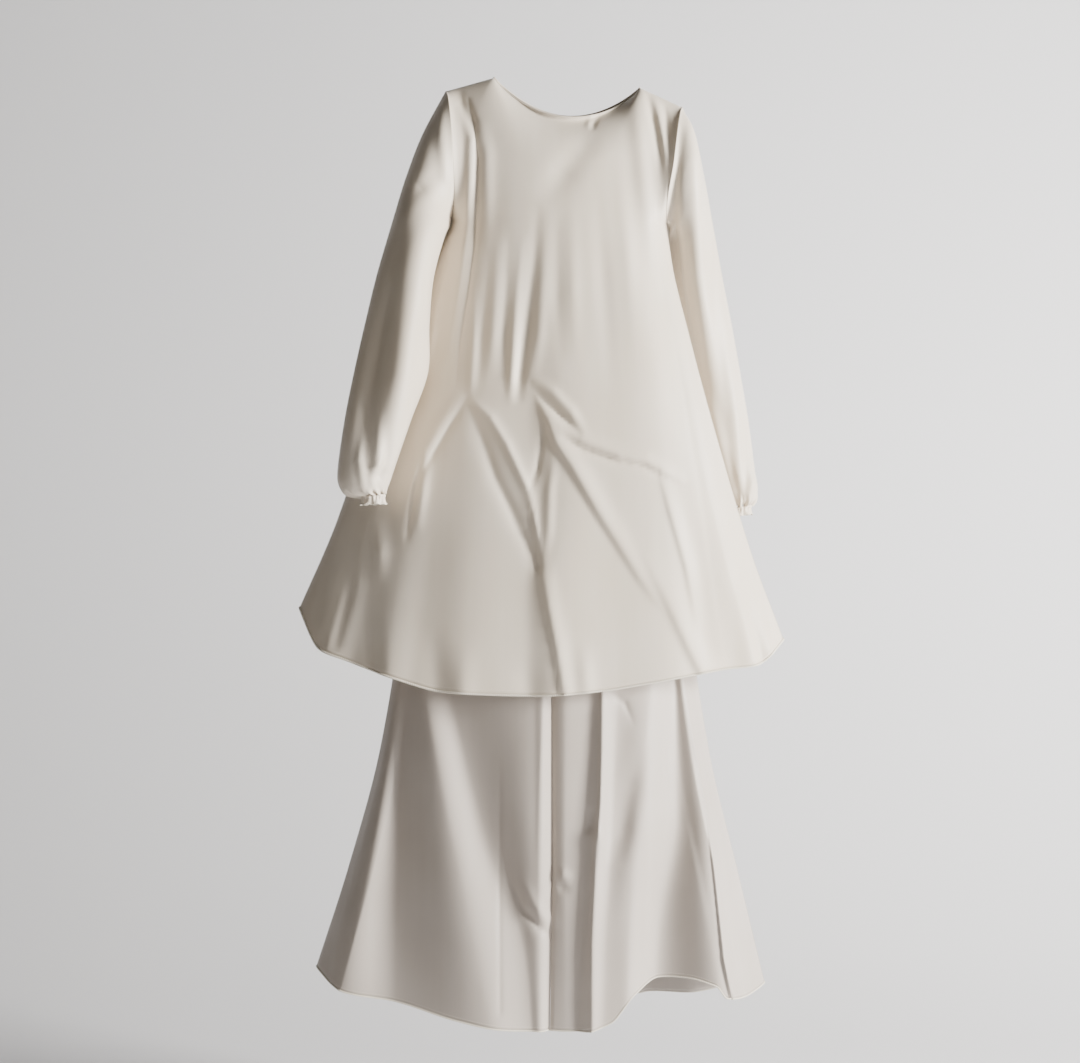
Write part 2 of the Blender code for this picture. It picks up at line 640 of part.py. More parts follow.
def make_waistband(collection):
    """The plain elastic waistband, hidden by the tunic."""
    front = skirt_columns(0, SKIRT_CENTRE_FRONT, 0.0, -1) + skirt_columns(SKIRT_CENTRE_FRONT, 1, 0.0, -1)[1:]
    back = skirt_columns(0, SKIRT_CENTRE_BACK, 0.0, 1) + skirt_columns(SKIRT_CENTRE_BACK, 1, 0.0, 1)[1:]
    round_it = [(share, -1) for share in front] + [(share, 1) for share in reversed(back[1:-1])]
    columns = len(round_it)

    def place(column_number, row_number):
        share, side = round_it[column_number % columns]
        point = SKIRT.point(share, 0.0, side)
        point.z = WAIST_TOP if row_number == 0 else WAIST_FOOT
        return point

    band = sheet("waistband", collection, SILVER, columns, 1, place, closed=True)
    give_wall(band)


def make_neck_binding(collection):
    """The thin rolled binding that stands on the neckline's edge all round."""
    shares = tunic_columns()
    shares = shares[TUNIC_COLUMNS_SHOULDER : len(shares) - TUNIC_COLUMNS_SHOULDER]
    front = [TUNIC.point(s, 0.0, -1) for s in shares]
    back = [TUNIC.point(s, 0.0, 1) for s in reversed(shares[1:-1])]
    path = bpy.data.curves.new("neck_binding", "CURVE")
    path.dimensions = "3D"
    path.bevel_depth = NECK_ROLL
    path.bevel_resolution = 1
    spline = path.splines.new("POLY")
    spline.points.add(len(front + back) - 1)
    for spot, point in zip(spline.points, front + back, strict=True):
        inwards = math.copysign(CLOTH / 2, -point.y)
        spot.co = (point.x, point.y + inwards, point.z + NECK_ROLL + NECK_LIFT, 1.0)
    spline.use_cyclic_u = True
    binding = bpy.data.objects.new("neck_binding", path)
    binding.data.materials.append(satin("neck_binding", CREAM))
    collection.objects.link(binding)


def main():
    clear_scene()
    garment = bpy.data.collections.new("baju_kurung")
    bpy.context.scene.collection.children.link(garment)
    make_tunic_panel("tunic_front", -1, garment)
    make_tunic_panel("tunic_back", 1, garment)
    make_sleeve("sleeve_right", RIGHT_SLEEVE, False, garment)
    make_sleeve("sleeve_left", LEFT_SLEEVE, True, garment)
    make_cuff("cuff_right", RIGHT_SLEEVE, False, garment)
    make_cuff("cuff_left", LEFT_SLEEVE, True, garment)
    make_neck_binding(garment)
    make_skirt_panel("skirt_front_right", -1, 0.0, SKIRT_CENTRE_FRONT, garment)
    make_skirt_panel("skirt_front_left", -1, SKIRT_CENTRE_FRONT, 1.0, garment)
    make_skirt_panel("skirt_back_right", 1, 0.0, SKIRT_CENTRE_BACK, garment)
    make_skirt_panel("skirt_back_left", 1, SKIRT_CENTRE_BACK, 1.0, garment)
    make_waistband(garment)


main()
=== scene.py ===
"""The cloth, thread and finish of a baju kurung: a flared tunic over a long flared skirt.

Metres, +Z up. The front faces -Y, and the origin is midway between the two neck points. Left and right are
the wearer's. Each cloth piece is a grid that a surface class drapes, and Solidify gives it its wall. The
tables of flutes, creases and rings are in millimetres.
"""

import logging
import math
from abc import ABC, abstractmethod
from dataclasses import dataclass, field
from enum import Enum
from typing import NamedTuple

import bmesh
import bpy
import numpy as np
from mathutils import Matrix, Vector


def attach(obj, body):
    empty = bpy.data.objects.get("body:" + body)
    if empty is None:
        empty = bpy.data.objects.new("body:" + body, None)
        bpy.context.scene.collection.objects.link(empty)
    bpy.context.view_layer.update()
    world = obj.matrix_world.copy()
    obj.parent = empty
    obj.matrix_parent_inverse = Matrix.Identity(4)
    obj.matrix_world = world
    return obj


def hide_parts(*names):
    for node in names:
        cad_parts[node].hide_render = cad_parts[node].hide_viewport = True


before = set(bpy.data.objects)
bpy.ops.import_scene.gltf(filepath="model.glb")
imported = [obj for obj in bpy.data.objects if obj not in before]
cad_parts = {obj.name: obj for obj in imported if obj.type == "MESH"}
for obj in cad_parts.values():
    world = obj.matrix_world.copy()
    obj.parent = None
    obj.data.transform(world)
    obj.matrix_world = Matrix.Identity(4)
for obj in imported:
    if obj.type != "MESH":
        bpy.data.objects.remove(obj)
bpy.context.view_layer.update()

log = logging.getLogger("baju_kurung")

BODY = "root"
MM_PER_M = 1000
WELD = 2e-6  # ends of a round grid this close are one


class Side(Enum):
    """Which face of the garment a panel is on."""

    FRONT = -1
    BACK = 1


class Hand(Enum):
    """The wearer's hand."""

    RIGHT = -1
    LEFT = 1


class CreaseShape(Enum):
    """How the cloth runs across a crease."""

    SOFT = "soft"  # a rounded ridge or trough
    SHARP = "sharp"  # a pressed line
    LEAN_LEFT = "lean_left"  # a ridge that is steep on the wearer's left
    LEAN_RIGHT = "lean_right"  # a ridge that is steep on the wearer's right


STEEP_SIDES = {CreaseShape.LEAN_LEFT: 1, CreaseShape.LEAN_RIGHT: -1}
STEEP_SHARE = 0.35  # the steep side's width, as a share of the crease's
SHARP_SHARE = 0.55  # how fast a pressed line falls away
TIP_SHARE = 0.12  # how round its tip is


# ---- Curves and creases ----


@dataclass(frozen=True)
class SmoothCurve:
    """A curve through given values that never overshoots them."""

    keys: tuple[float, ...]
    values: tuple[float, ...]

    def at(self, where: np.ndarray) -> np.ndarray:
        """Reads the curve.

        Args:
            where: The places to read it at. Outside the keys it keeps its end values.

        Returns:
            The curve's value at each place.
        """
        keys, values = np.asarray(self.keys, float), np.asarray(self.values, float)
        spans = np.diff(keys)
        slopes = np.diff(values) / spans
        tangents = np.empty_like(values)
        tangents[0], tangents[-1] = slopes[0], slopes[-1]
        before, after = slopes[:-1], slopes[1:]
        same_way = before * after > 0
        total = np.where(same_way, before + after, 1.0)
        tangents[1:-1] = np.where(same_way, 2 * before * after / total, 0.0)
        where = np.clip(where, keys[0], keys[-1])
        i = np.clip(np.searchsorted(keys, where, side="right") - 1, 0, len(spans) - 1)
        t = (where - keys[i]) / spans[i]
        return (
            values[i] * (1 + 2 * t) * (1 - t) ** 2
            + values[i + 1] * t * t * (3 - 2 * t)
            + spans[i] * t * (1 - t) * (tangents[i] * (1 - t) - tangents[i + 1] * t)
        )


def smooth_step(low: float, high: float, where: np.ndarray) -> np.ndarray:
    """0 up to low, 1 from high, and smooth between them.

    Args:
        low: Where it starts to rise.
        high: Where it reaches 1.
        where: The places to read it at.

    Returns:
        The step's value at each place.
    """
    t = np.clip((where - low) / (high - low), 0.0, 1.0)
    return t * t * (3 - 2 * t)


def metres(values: tuple[float, ...]) -> tuple[float, ...]:
    """Millimetres as metres."""
    return tuple(value / MM_PER_M for value in values)


class CreasePoint(NamedTuple):
    """A point of a crease as it is seen from the front, and how far the cloth stands out there."""

    x: float
    z: float
    rise: float


@dataclass(frozen=True)
class Crease:
    """One ridge, trough or pressed line that is given point by point."""

    shape: CreaseShape
    width: float
    points: tuple[CreasePoint, ...]

    def height(self, x: np.ndarray, z: np.ndarray) -> np.ndarray:
        """How far the crease pushes the cloth out.

        Args:
            x: Places seen from the front, across.
            z: Places seen from the front, up.

        Returns:
            The push at each place, away from the inside of the garment.
        """
        nearest = np.full(x.shape, np.inf)
        to_left, rise = np.zeros(x.shape), np.zeros(x.shape)
        for start, end in zip(self.points[:-1], self.points[1:], strict=True):
            run_x, run_z = end.x - start.x, end.z - start.z
            length = math.hypot(run_x, run_z)
            t = np.clip(((x - start.x) * run_x + (z - start.z) * run_z) / length**2, 0.0, 1.0)
            off_x, off_z = x - start.x - t * run_x, z - start.z - t * run_z
            distance = np.hypot(off_x, off_z)
            closer = distance < nearest
            nearest = np.where(closer, distance, nearest)
            to_left = np.where(closer, (off_z * run_x - off_x * run_z) / length, to_left)
            rise = np.where(closer, start.rise + t * (end.rise - start.rise), rise)
        return rise * self._profile(nearest, to_left)

    def _profile(self, nearest: np.ndarray, to_left: np.ndarray) -> np.ndarray:
        """The crease's section: 1 on its line, falling to 0.

        Args:
            nearest: Distances from its line.
            to_left: Distances across it, positive on the wearer's left.

        Returns:
            The section's height at each distance.
        """
        if self.shape is CreaseShape.SHARP:
            tip = TIP_SHARE * self.width
            return np.exp((tip - np.hypot(nearest, tip)) / (SHARP_SHARE * self.width))
        steep_side = STEEP_SIDES.get(self.shape, 0) * to_left > 0
        width = np.where(steep_side, STEEP_SHARE * self.width, self.width)
        return np.exp(-((nearest / width) ** 2))


def creases(*rows: tuple) -> tuple[Crease, ...]:
    """A panel's creases.

    Args:
        *rows: Each crease's shape, how far from its line it has mostly gone, and its points' x, z and rise,
            in millimetres.

    Returns:
        The creases.
    """
    return tuple(
        Crease(shape, width / MM_PER_M, tuple(CreasePoint(*metres(point)) for point in points))
        for shape, width, *points in rows
    )


class FluteLine(NamedTuple):
    """A ridge or valley that runs down a panel: its x and its rise at four heights."""

    x_top: float
    x_upper: float
    x_lower: float
    x_hem: float
    rise_top: float
    rise_upper: float
    rise_lower: float
    rise_hem: float


@dataclass(frozen=True)
class Flutes:
    """The row of ridges and valleys that a panel falls in. Above their top they keep their shares across."""

    downs: tuple[float, float, float, float]
    lines: tuple[FluteLine, ...]
    fade_top: float = 0.15

    def height(self, tube: "HangingTube", across: np.ndarray, down: np.ndarray) -> np.ndarray:
        """How far the flutes push the cloth out.

        Args:
            tube: The tube that they are on, for its width.
            across: Shares across of the places.
            down: Shares down of the places.

        Returns:
            The push at each place.
        """
        rise = np.zeros(across.shape)
        rows, inverse = np.unique(down, return_inverse=True)
        held = np.maximum(rows, self.downs[0])
        right, left = tube.level("right_x", held), tube.level("left_x", held)
        places = [SmoothCurve(self.downs, line[:4]).at(held) for line in self.lines]
        shares = [(place - right) / (left - right) for place in places]
        rises = [SmoothCurve(self.downs, line[4:]).at(held) for line in self.lines]
        order = np.argsort(inverse, kind="stable")
        ends = np.searchsorted(inverse[order], np.arange(len(rows) + 1))
        for n in range(len(rows)):
            here = order[ends[n] : ends[n + 1]]
            keys = (0.0, *(float(share[n]) for share in shares), 1.0)
            rise[here] = SmoothCurve(keys, (0.0, *(float(r[n]) for r in rises), 0.0)).at(across[here])
        return rise * smooth_step(self.fade_top, self.downs[0], down)


def flutes(downs: tuple[float, float, float, float], *rows: tuple[float, ...]) -> Flutes:
    """A row of flutes from its lines.

    Args:
        downs: The shares down at which the lines are given.
        *rows: Each line's four x and four rises, in millimetres.

    Returns:
        The flutes.
    """
    return Flutes(downs, tuple(FluteLine(*metres(row)) for row in rows))


# ---- The two hanging tubes: the tunic's body and the skirt ----


class Level(NamedTuple):
    """One level of a tube made of a front and a back panel."""

    down: float
    right_x: float
    right_z: float
    left_x: float
    left_z: float
    right_y: float
    left_y: float
    front: float
    back: float


class HemPoint(NamedTuple):
    """How far the hem dips below the line between the bottoms of the side seams."""

    across: float
    front_dip: float
    back_dip: float


@dataclass(frozen=True)
class Neck:
    """The neckline and the shoulders."""

    right: float = 0.205  # shares across at which the two neck points lie
    left: float = 0.82
    right_z: float = 0.0065
    left_z: float = -0.0085
    front_drop: float = 0.058
    back_drop: float = 0.046
    front_reach: float = 0.036
    back_reach: float = 0.028
    fade: float = 0.40  # share down at which the neckline stops shaping the panel
    underarm: float = 0.24  # share down at which the armhole ends
    armhole_reach: float = 0.048
    right_bow: float = 0.009
    left_bow: float = -0.007
    near_power: float = 16.0
    round_power: float = 4.0
    soft_fade: float = 0.22
    soft_join: float = 0.012
    turn_power: float = 1.5
    corner_width: float = 0.14
    corner_down: float = 0.05
    corner_steps: int = 21


@dataclass(frozen=True)
class HangingTube:
    """The form that a front and a back panel make together."""

    levels: tuple[Level, ...]
    hem: tuple[HemPoint, ...]
    flutes: dict[Side, Flutes]
    creases: dict[Side, tuple[Crease, ...]]
    neck: Neck | None = None
    side_power: float = 2.4
    side_round: float = 0.6

    def level(self, name: str, down: np.ndarray) -> np.ndarray:
        """One column of the level table, read between its rows."""
        curve = SmoothCurve(
            tuple(r.down for r in self.levels), tuple(getattr(r, name) for r in self.levels)
        )
        return curve.at(down)

    def dip(self, across: np.ndarray, side: Side) -> np.ndarray:
        """The hem's dip on one side, read between its points."""
        name = "front_dip" if side is Side.FRONT else "back_dip"
        curve = SmoothCurve(tuple(r.across for r in self.hem), tuple(getattr(r, name) for r in self.hem))
        return curve.at(across)

    def armhole(self, down: np.ndarray) -> np.ndarray:
        """0 on top of the shoulder and at the underarm, 1 half way between, 0 below."""
        if self.neck is None:
            return np.zeros(down.shape)
        turn = np.clip(1 - (1 - 2 * down / self.neck.underarm) ** 2, 0.0, 1.0)
        return np.where(down < self.neck.underarm, np.sqrt(turn), 0.0)

    def armhole_shape(self, down: np.ndarray, off_centre: np.ndarray) -> np.ndarray:
        """How much of the armhole's shape is felt: sharp at its edge, and soft further in."""
        if self.neck is None:
            return np.zeros(down.shape)
        turn = np.minimum(1.0, np.abs(down - self.neck.underarm / 2) / self.neck.soft_fade)
        soft = np.cos(math.pi / 2 * turn) ** 2 * self.shoulder(down)
        near, wide = off_centre**self.neck.near_power, off_centre**self.neck.round_power
        return self.armhole(down) * near + soft * (wide - near)

    def shoulder(self, down: np.ndarray) -> np.ndarray:
        """0 at the shoulder seam, rising to 1 half way down the armhole."""
        if self.neck is None:
            return np.ones(down.shape)
        return np.where(down < self.neck.underarm / 2, self.armhole(down), 1.0)

    def neck_share(self, across: np.ndarray) -> np.ndarray:
        """0 at and outside the neck points, 1 at the middle of the neckline."""
        if self.neck is None:
            return np.zeros(across.shape)
        share = 2 * (across - self.neck.right) / (self.neck.left - self.neck.right) - 1
        return np.maximum(0.0, 1 - share * share)

    def top_line(self, across: np.ndarray, side: Side) -> np.ndarray:
        """Height of the top edge above the line between the outer ends of the shoulder seams."""
        if self.neck is None:
            return np.zeros(across.shape)
        top = self.levels[0]
        straight = np.interp(
            across,
            (0.0, self.neck.right, self.neck.left, 1.0),
            (top.right_z, self.neck.right_z, self.neck.left_z, top.left_z),
        )
        drop = self.neck.front_drop if side is Side.FRONT else self.neck.back_drop
        line = top.right_z + (top.left_z - top.right_z) * across
        return straight - line - drop * self.neck_share(across) ** 0.9

    def soft_top_line(self, across: np.ndarray, down: np.ndarray, side: Side) -> np.ndarray:
        """The top line averaged sideways, further the further down, so that its corners fade out."""
        if self.neck is None:
            return np.zeros(across.shape)
        width = self.neck.corner_width * (1 - np.exp(-down / self.neck.corner_down))
        offsets = np.linspace(-1.0, 1.0, self.neck.corner_steps)
        weights = np.cos(math.pi / 2 * offsets * offsets)
        total = sum(
            weight * self.top_line(np.clip(across + offset * width, 0.0, 1.0), side)
            for offset, weight in zip(offsets, weights)
        )
        return total / weights.sum()

    def place(self, across: np.ndarray, down: np.ndarray, side: Side) -> np.ndarray:
        """Points of the outer face.

        Args:
            across: Shares from the right side seam to the left one.
            down: Shares from the top edge to the hem.
            side: The panel's side.

        Returns:
            The points, one row each.
        """
        fade = np.zeros(down.shape)
        if self.neck:
            fade = np.maximum(0.0, 1 - down / self.neck.fade) ** 2
        right_z, left_z = self.level("right_z", down), self.level("left_z", down)
        z = right_z + (left_z - right_z) * across
        z = z + self.soft_top_line(across, down, side) * fade - self.dip(across, side) * down**2
        right_x, left_x = self.level("right_x", down), self.level("left_x", down)
        off_centre = np.abs(2 * across - 1)
        bow = self.armhole_shape(down, off_centre)
        x = right_x + (left_x - right_x) * across
        if self.neck:
            x = x + np.where(across < 0.5, self.neck.right_bow, self.neck.left_bow) * bow
        full = self.level("front" if side is Side.FRONT else "back", down) * self.shoulder(down)
        square = np.maximum(0.0, 1 - off_centre**self.side_power) ** self.side_round
        reach = full * square
        if self.neck:
            reach = reach + self.neck.armhole_reach * bow * (1 - square)
            far = self.neck.front_reach if side is Side.FRONT else self.neck.back_reach
            share = self.neck_share(across)
            round_neck = far * share**self.neck.turn_power
            other = round_neck + (reach - round_neck) * self.shoulder(down)
            reach = (reach + other + np.sqrt((reach - other) ** 2 + self.neck.soft_join**2)) / 2
            reach = reach - self.neck.soft_join / 2
        ease = np.minimum(1.0, 16 * np.minimum(across, 1 - across)) * np.minimum(1.0, reach / 0.02)
        rise = self.flutes[side].height(self, across, down)
        for line in self.creases[side]:
            rise = rise + line.height(x, z)
        reach = reach + rise * ease
        right_y, left_y = self.level("right_y", down), self.level("left_y", down)
        y = right_y + (left_y - right_y) * across + side.value * reach
        return np.stack([x, y, z], axis=-1)


# ---- Surfaces that a grid is draped on ----


class Surface(ABC):
    """A piece of cloth or thread as a function of two shares, u across it and v down it."""

    @abstractmethod
    def at(self, u: np.ndarray, v: np.ndarray) -> np.ndarray:
        """Points of the surface at shares u and v, one row each."""


def gather_at_ends(share: np.ndarray, amount: float) -> np.ndarray:
    """Moves evenly spaced shares closer together at both ends."""
    return share - amount * np.sin(2 * math.pi * share) / (2 * math.pi)


@dataclass(frozen=True)
class PanelSurface(Surface):
    """A part of a tube's front or back, between two shares across."""

    tube: HangingTube
    side: Side
    start: float = 0.0
    end: float = 1.0
    closeness: float = 0.5
    seam_turn: float = 0.0012
    seam_width: float = 0.0035
    top_closeness: float = 0.0

    def at(self, u: np.ndarray, v: np.ndarray) -> np.ndarray:
        """Points of the panel. Its seam edges turn in a little."""
        share = gather_at_ends(u if self.side is Side.FRONT else 1 - u, self.closeness)
        across = self.start + (self.end - self.start) * share
        down = v - self.top_closeness * np.sin(math.pi * v) / math.pi
        points = self.tube.place(across, down, self.side)
        width = self.tube.level("left_x", down) - self.tube.level("right_x", down)
        turn = sum(
            np.exp(-((across - seam) * width / self.seam_width) ** 2) for seam in (self.start, self.end)
        )
        points[:, 1] -= self.side.value * self.seam_turn * turn
        return points


class Ring(NamedTuple):
    """One ring of a sleeve: its inner and outer points seen from the front, and its depth."""

    inner_x: float
    inner_z: float
    outer_x: float
    outer_z: float
    middle_y: float
    half_depth: float


def gathers(turn: np.ndarray) -> np.ndarray:
    """Uneven small pleats round a wrist: broad ones, finer ones between, and places where both are weak."""
    broad = np.sin(13 * turn + 2.2 * np.sin(2 * turn + 0.6))
    fine = 0.45 * np.sin(21 * turn + 1.3)
    return (broad + fine) * (0.75 + 0.35 * np.sin(3 * turn + 1.0))


def rings(*rows: tuple[float, ...]) -> tuple[Ring, ...]:
    """A sleeve's rings.

    Args:
        *rows: Each ring's six measures, in millimetres.

    Returns:
        The rings.
    """
    return tuple(Ring(*metres(row)) for row in rows)


@dataclass(frozen=True)
class SleeveSurface(Surface):
    """A sleeve, from its armhole to the ring where it is gathered."""

    tube: HangingTube
    hand: Hand
    rings: tuple[Ring, ...]
    front_creases: tuple[Crease, ...]
    back_creases: tuple[Crease, ...]
    gather_depth: float = 0.0035
    gather_reach: float = 0.16
    facing_low: float = 0.05  # how squarely the cloth must face a side for that side's creases to show
    facing_high: float = 0.55
    armhole_fade: float = 0.06  # share of the length below the armhole without creases

    def around(self, u: np.ndarray) -> np.ndarray:
        """Angles round the sleeve: 0 at its outer point, and a quarter turn at its front."""
        return 2 * math.pi * u * -self.hand.value

    def armhole(self, angle: np.ndarray) -> np.ndarray:
        """Points of the armhole at angles round the sleeve.

        Args:
            angle: The angles.

        Returns:
            The points, one row each.
        """
        down = self.tube.neck.underarm * (1 - np.cos(angle)) / 2
        across = np.full(angle.shape, 1.0 if self.hand is Hand.LEFT else 0.0)
        front = self.tube.place(across, down, Side.FRONT)
        back = self.tube.place(across, down, Side.BACK)
        return np.where((np.sin(angle) > 0)[:, None], front, back)

    def control(self, angle: np.ndarray) -> np.ndarray:
        """Points of every ring at the given angles.

        Args:
            angle: Angles round the sleeve.

        Returns:
            An array of rings, angles and coordinates.
        """
        rings = [self.armhole(np.arctan2(np.sin(angle), np.cos(angle)))]
        for ring in self.rings:
            inner = np.array([ring.inner_x, ring.middle_y, ring.inner_z])
            outer = np.array([ring.outer_x, ring.middle_y, ring.outer_z])
            points = (inner + outer) / 2 + (outer - inner) / 2 * np.cos(angle)[:, None]
            points = points - np.array([0, ring.half_depth, 0]) * np.sin(angle)[:, None]
            rings.append(points)
        return np.stack(rings)

    def at(self, u: np.ndarray, v: np.ndarray) -> np.ndarray:
        """Points of the sleeve, with its creases and the gathers above the cuff."""
        angles, column = np.unique(u, return_inverse=True)
        shares, row = np.unique(v, return_inverse=True)
        control = self.control(self.around(angles))
        last = len(control) - 1
        position = shares * last
        i = np.clip(position.astype(int), 0, last - 1)
        t = (position - i)[:, None, None]
        before, here = control[np.maximum(i - 1, 0)], control[i]
        after, beyond = control[i + 1], control[np.minimum(i + 2, last)]
        grid = 0.5 * (
            2 * here
            + (after - before) * t
            + (2 * before - 5 * here + 4 * after - beyond) * t**2
            + (3 * here - before - 3 * after + beyond) * t**3
        )
        along = np.gradient(grid, axis=0)
        round_it = np.gradient(grid, axis=1)
        closing = (grid[:, 1] - grid[:, -2]) / 2
        round_it[:, 0], round_it[:, -1] = closing, closing
        normal = np.cross(along, round_it)
        normal /= np.maximum(np.linalg.norm(normal, axis=-1, keepdims=True), 1e-12)
        x, z, facing = grid[..., 0], grid[..., 2], normal[..., 1]
        if (normal[..., 0] * (grid[..., 0] - grid[..., 0].mean(axis=1, keepdims=True))).mean() < 0:
            normal, facing = -normal, -facing
        push = np.zeros(x.shape)
        for creases, towards in ((self.front_creases, -facing), (self.back_creases, facing)):
            shown = smooth_step(self.facing_low, self.facing_high, towards)
            for line in creases:
                push += line.height(x, z) * shown
        near_cuff = smooth_step(1 - self.gather_reach, 1.0, shares)[:, None]
        push += self.gather_depth * near_cuff * gathers(2 * math.pi * angles[None, :])
        push *= smooth_step(0.0, self.armhole_fade, shares)[:, None]
        grid = grid + normal * push[..., None]
        return grid[row, column]


@dataclass(frozen=True)
class CuffSurface(Surface):
    """The gathered casing at a wrist and the frill below it."""

    hand: Hand
    ring: Ring
    drop: float = 0.0135
    casing: float = 0.0050
    flare: float = 0.0012
    waves: int = 8
    wave_depth: float = 0.0014
    puff: float = 0.0009
    pleats: int = 17
    pleat_depth: float = 0.0006
    top: float = 0.0004  # how far below the sleeve's last ring it starts
    wander: float = 0.0008  # how far its foot rises and falls

    def at(self, u: np.ndarray, v: np.ndarray) -> np.ndarray:
        """Points of the cuff: gathered into its casing, then flaring in a small frill."""
        angle = 2 * math.pi * u * -self.hand.value
        fall = v * self.drop
        below = np.clip((fall - self.casing) / (self.drop - self.casing), 0.0, 1.0)
        swell = self.puff * np.sin(math.pi * np.clip(fall / self.casing, 0.0, 1.0)) + self.flare * below**1.4
        pleats = self.pleat_depth * np.sin(self.pleats * angle + 1.7 * np.sin(3 * angle)) * (1 - below)
        frill = self.wave_depth * below * np.sin(self.waves * angle + 1.2 * np.sin(2 * angle + 0.8))
        half_x = (self.ring.outer_x - self.ring.inner_x) / 2
        half_z = (self.ring.outer_z - self.ring.inner_z) / 2
        out = swell + pleats + frill
        x = (self.ring.outer_x + self.ring.inner_x) / 2
        x = x + (half_x + self.hand.value * out) * np.cos(angle)
        y = self.ring.middle_y - (self.ring.half_depth + out) * np.sin(angle)
        z = (self.ring.outer_z + self.ring.inner_z) / 2 + half_z * np.cos(angle) * (1 - v * 0.5)
        z = z - self.top - fall - self.wander * below * np.sin(self.waves * angle + 2.0)
        return np.stack([x, y, z], axis=-1)


def run_lengths(line: np.ndarray) -> np.ndarray:
    """How far along a line each of its points is."""
    return np.concatenate([[0.0], np.cumsum(np.linalg.norm(np.diff(line, axis=0), axis=1))])


def read_line(where: np.ndarray, lengths: np.ndarray, line: np.ndarray) -> np.ndarray:
    """Reads a line, or something that is given along it, at other lengths."""
    return np.stack([np.interp(where, lengths, line[:, axis]) for axis in range(3)], axis=-1)


@dataclass(frozen=True)
class EdgeRollSurface(Surface):
    """A thread edge or a rolled binding: a thin tube that follows a line of points."""

    line: np.ndarray
    radius: float
    pitch: float = 0.0
    bite: float = 0.0
    closed: bool = False

    def at(self, u: np.ndarray, v: np.ndarray) -> np.ndarray:
        """Points of the roll. Its radius swells and dips where each stitch bites."""
        lengths = run_lengths(self.line)
        length = lengths[-1]
        where = u * length
        point = read_line(where, lengths, self.line)
        tangents = np.gradient(self.line, lengths, axis=0)
        if self.closed:
            tangents[[0, -1]] = tangents[0] + tangents[-1]
        tangent = read_line(where, lengths, tangents)
        tangent /= np.linalg.norm(tangent, axis=-1, keepdims=True)
        sideways = np.cross(tangent, (0.0, 0.0, 1.0))
        sideways /= np.maximum(np.linalg.norm(sideways, axis=-1, keepdims=True), 1e-9)
        upright = np.cross(sideways, tangent)
        radius = np.full(u.shape, self.radius)
        turn = 2 * math.pi * v
        if self.pitch:
            count = max(1, round(length / self.pitch))
            radius = radius * (1 + self.bite * np.sin(2 * math.pi * count * u + turn))
        spread = sideways * np.cos(turn)[:, None] + upright * np.sin(turn)[:, None]
        return point + spread * radius[:, None]


@dataclass(frozen=True)
class BandSurface(Surface):
    """The elastic waistband, which follows the skirt's top edge."""

    tube: HangingTube
    top: float = -0.3950
    foot: float = -0.4352
    ripples: int = 46
    ripple_depth: float = 0.0009

    def at(self, u: np.ndarray, v: np.ndarray) -> np.ndarray:
        """Points of the band, rippled by its elastic."""
        front = u <= 0.5
        across = gather_at_ends(np.where(front, 2 * u, 2 - 2 * u), 0.4)
        top_edge = [self.tube.place(across, np.zeros(u.shape), side) for side in Side]
        points = np.where(front[:, None], *top_edge)
        ripple = self.ripple_depth * np.sin(2 * math.pi * self.ripples * u) * np.sin(math.pi * v)
        ripple *= np.minimum(1.0, 8 * np.minimum(across, 1 - across))
        points[:, 1] += np.where(front, -ripple, ripple)
        points[:, 2] = self.top + (self.foot - self.top) * v
        return points


# ---- Making a piece ----


@dataclass(frozen=True)
class Weave:
    """How fine a piece's grid is, and the cloth's real size for its texture."""

    columns: int
    rows: int
    width: float
    length: float
    thickness: float = 0.0007
    closed: bool = False


def place_object(name: str, data: bpy.types.ID) -> bpy.types.Object:
    """Adds an object for a mesh, a light or a camera to the scene."""
    made = bpy.data.objects.new(name, data)
    bpy.context.scene.collection.objects.link(made)
    return made


def smooth_mesh(name: str, shape: bmesh.types.BMesh) -> bpy.types.Mesh:
    """Turns a finished bmesh into a smooth mesh and frees it."""
    mesh = bpy.data.meshes.new(name)
    shape.to_mesh(mesh)
    shape.free()
    mesh.shade_smooth()
    return mesh


def drape(name: str, surface: Surface, weave: Weave) -> bpy.types.Object:
    """Makes one piece: a flat grid, draped on its surface.

    Args:
        name: The piece's name.
        surface: Where its points go.
        weave: Its grid, size and wall.

    Returns:
        The piece, riding on the body.
    """
    flat = bmesh.new()
    flat.loops.layers.uv.new("cloth")
    bmesh.ops.create_grid(
        flat, x_segments=weave.columns, y_segments=weave.rows, size=0.5, calc_uvs=True
    )
    mesh = bpy.data.meshes.new(name)
    flat.to_mesh(mesh)
    flat.free()
    shares = np.empty(len(mesh.vertices) * 3)
    mesh.vertices.foreach_get("co", shares)
    shares = shares.reshape(-1, 3)
    u = np.round((shares[:, 0] + 0.5) * weave.columns) / weave.columns
    v = np.round((0.5 - shares[:, 1]) * weave.rows) / weave.rows
    mesh.vertices.foreach_set("co", surface.at(u, v).astype(np.float32).ravel())
    cloth_map = mesh.uv_layers[0].data
    uv = np.empty(len(cloth_map) * 2, np.float32)
    cloth_map.foreach_get("uv", uv)
    uv = uv.reshape(-1, 2) * np.array([weave.width, weave.length], np.float32)
    cloth_map.foreach_set("uv", uv.ravel())
    if weave.closed:
        joined = bmesh.new()
        joined.from_mesh(mesh)
        bmesh.ops.remove_doubles(joined, verts=joined.verts, dist=WELD)
        joined.to_mesh(mesh)
        joined.free()
    mesh.update()
    mesh.shade_smooth()
    piece = place_object(name, mesh)
    if weave.thickness:
        wall = piece.modifiers.new("wall", "SOLIDIFY")
        wall.thickness = weave.thickness
        wall.offset = -1.0
    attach(piece, BODY)
    return piece


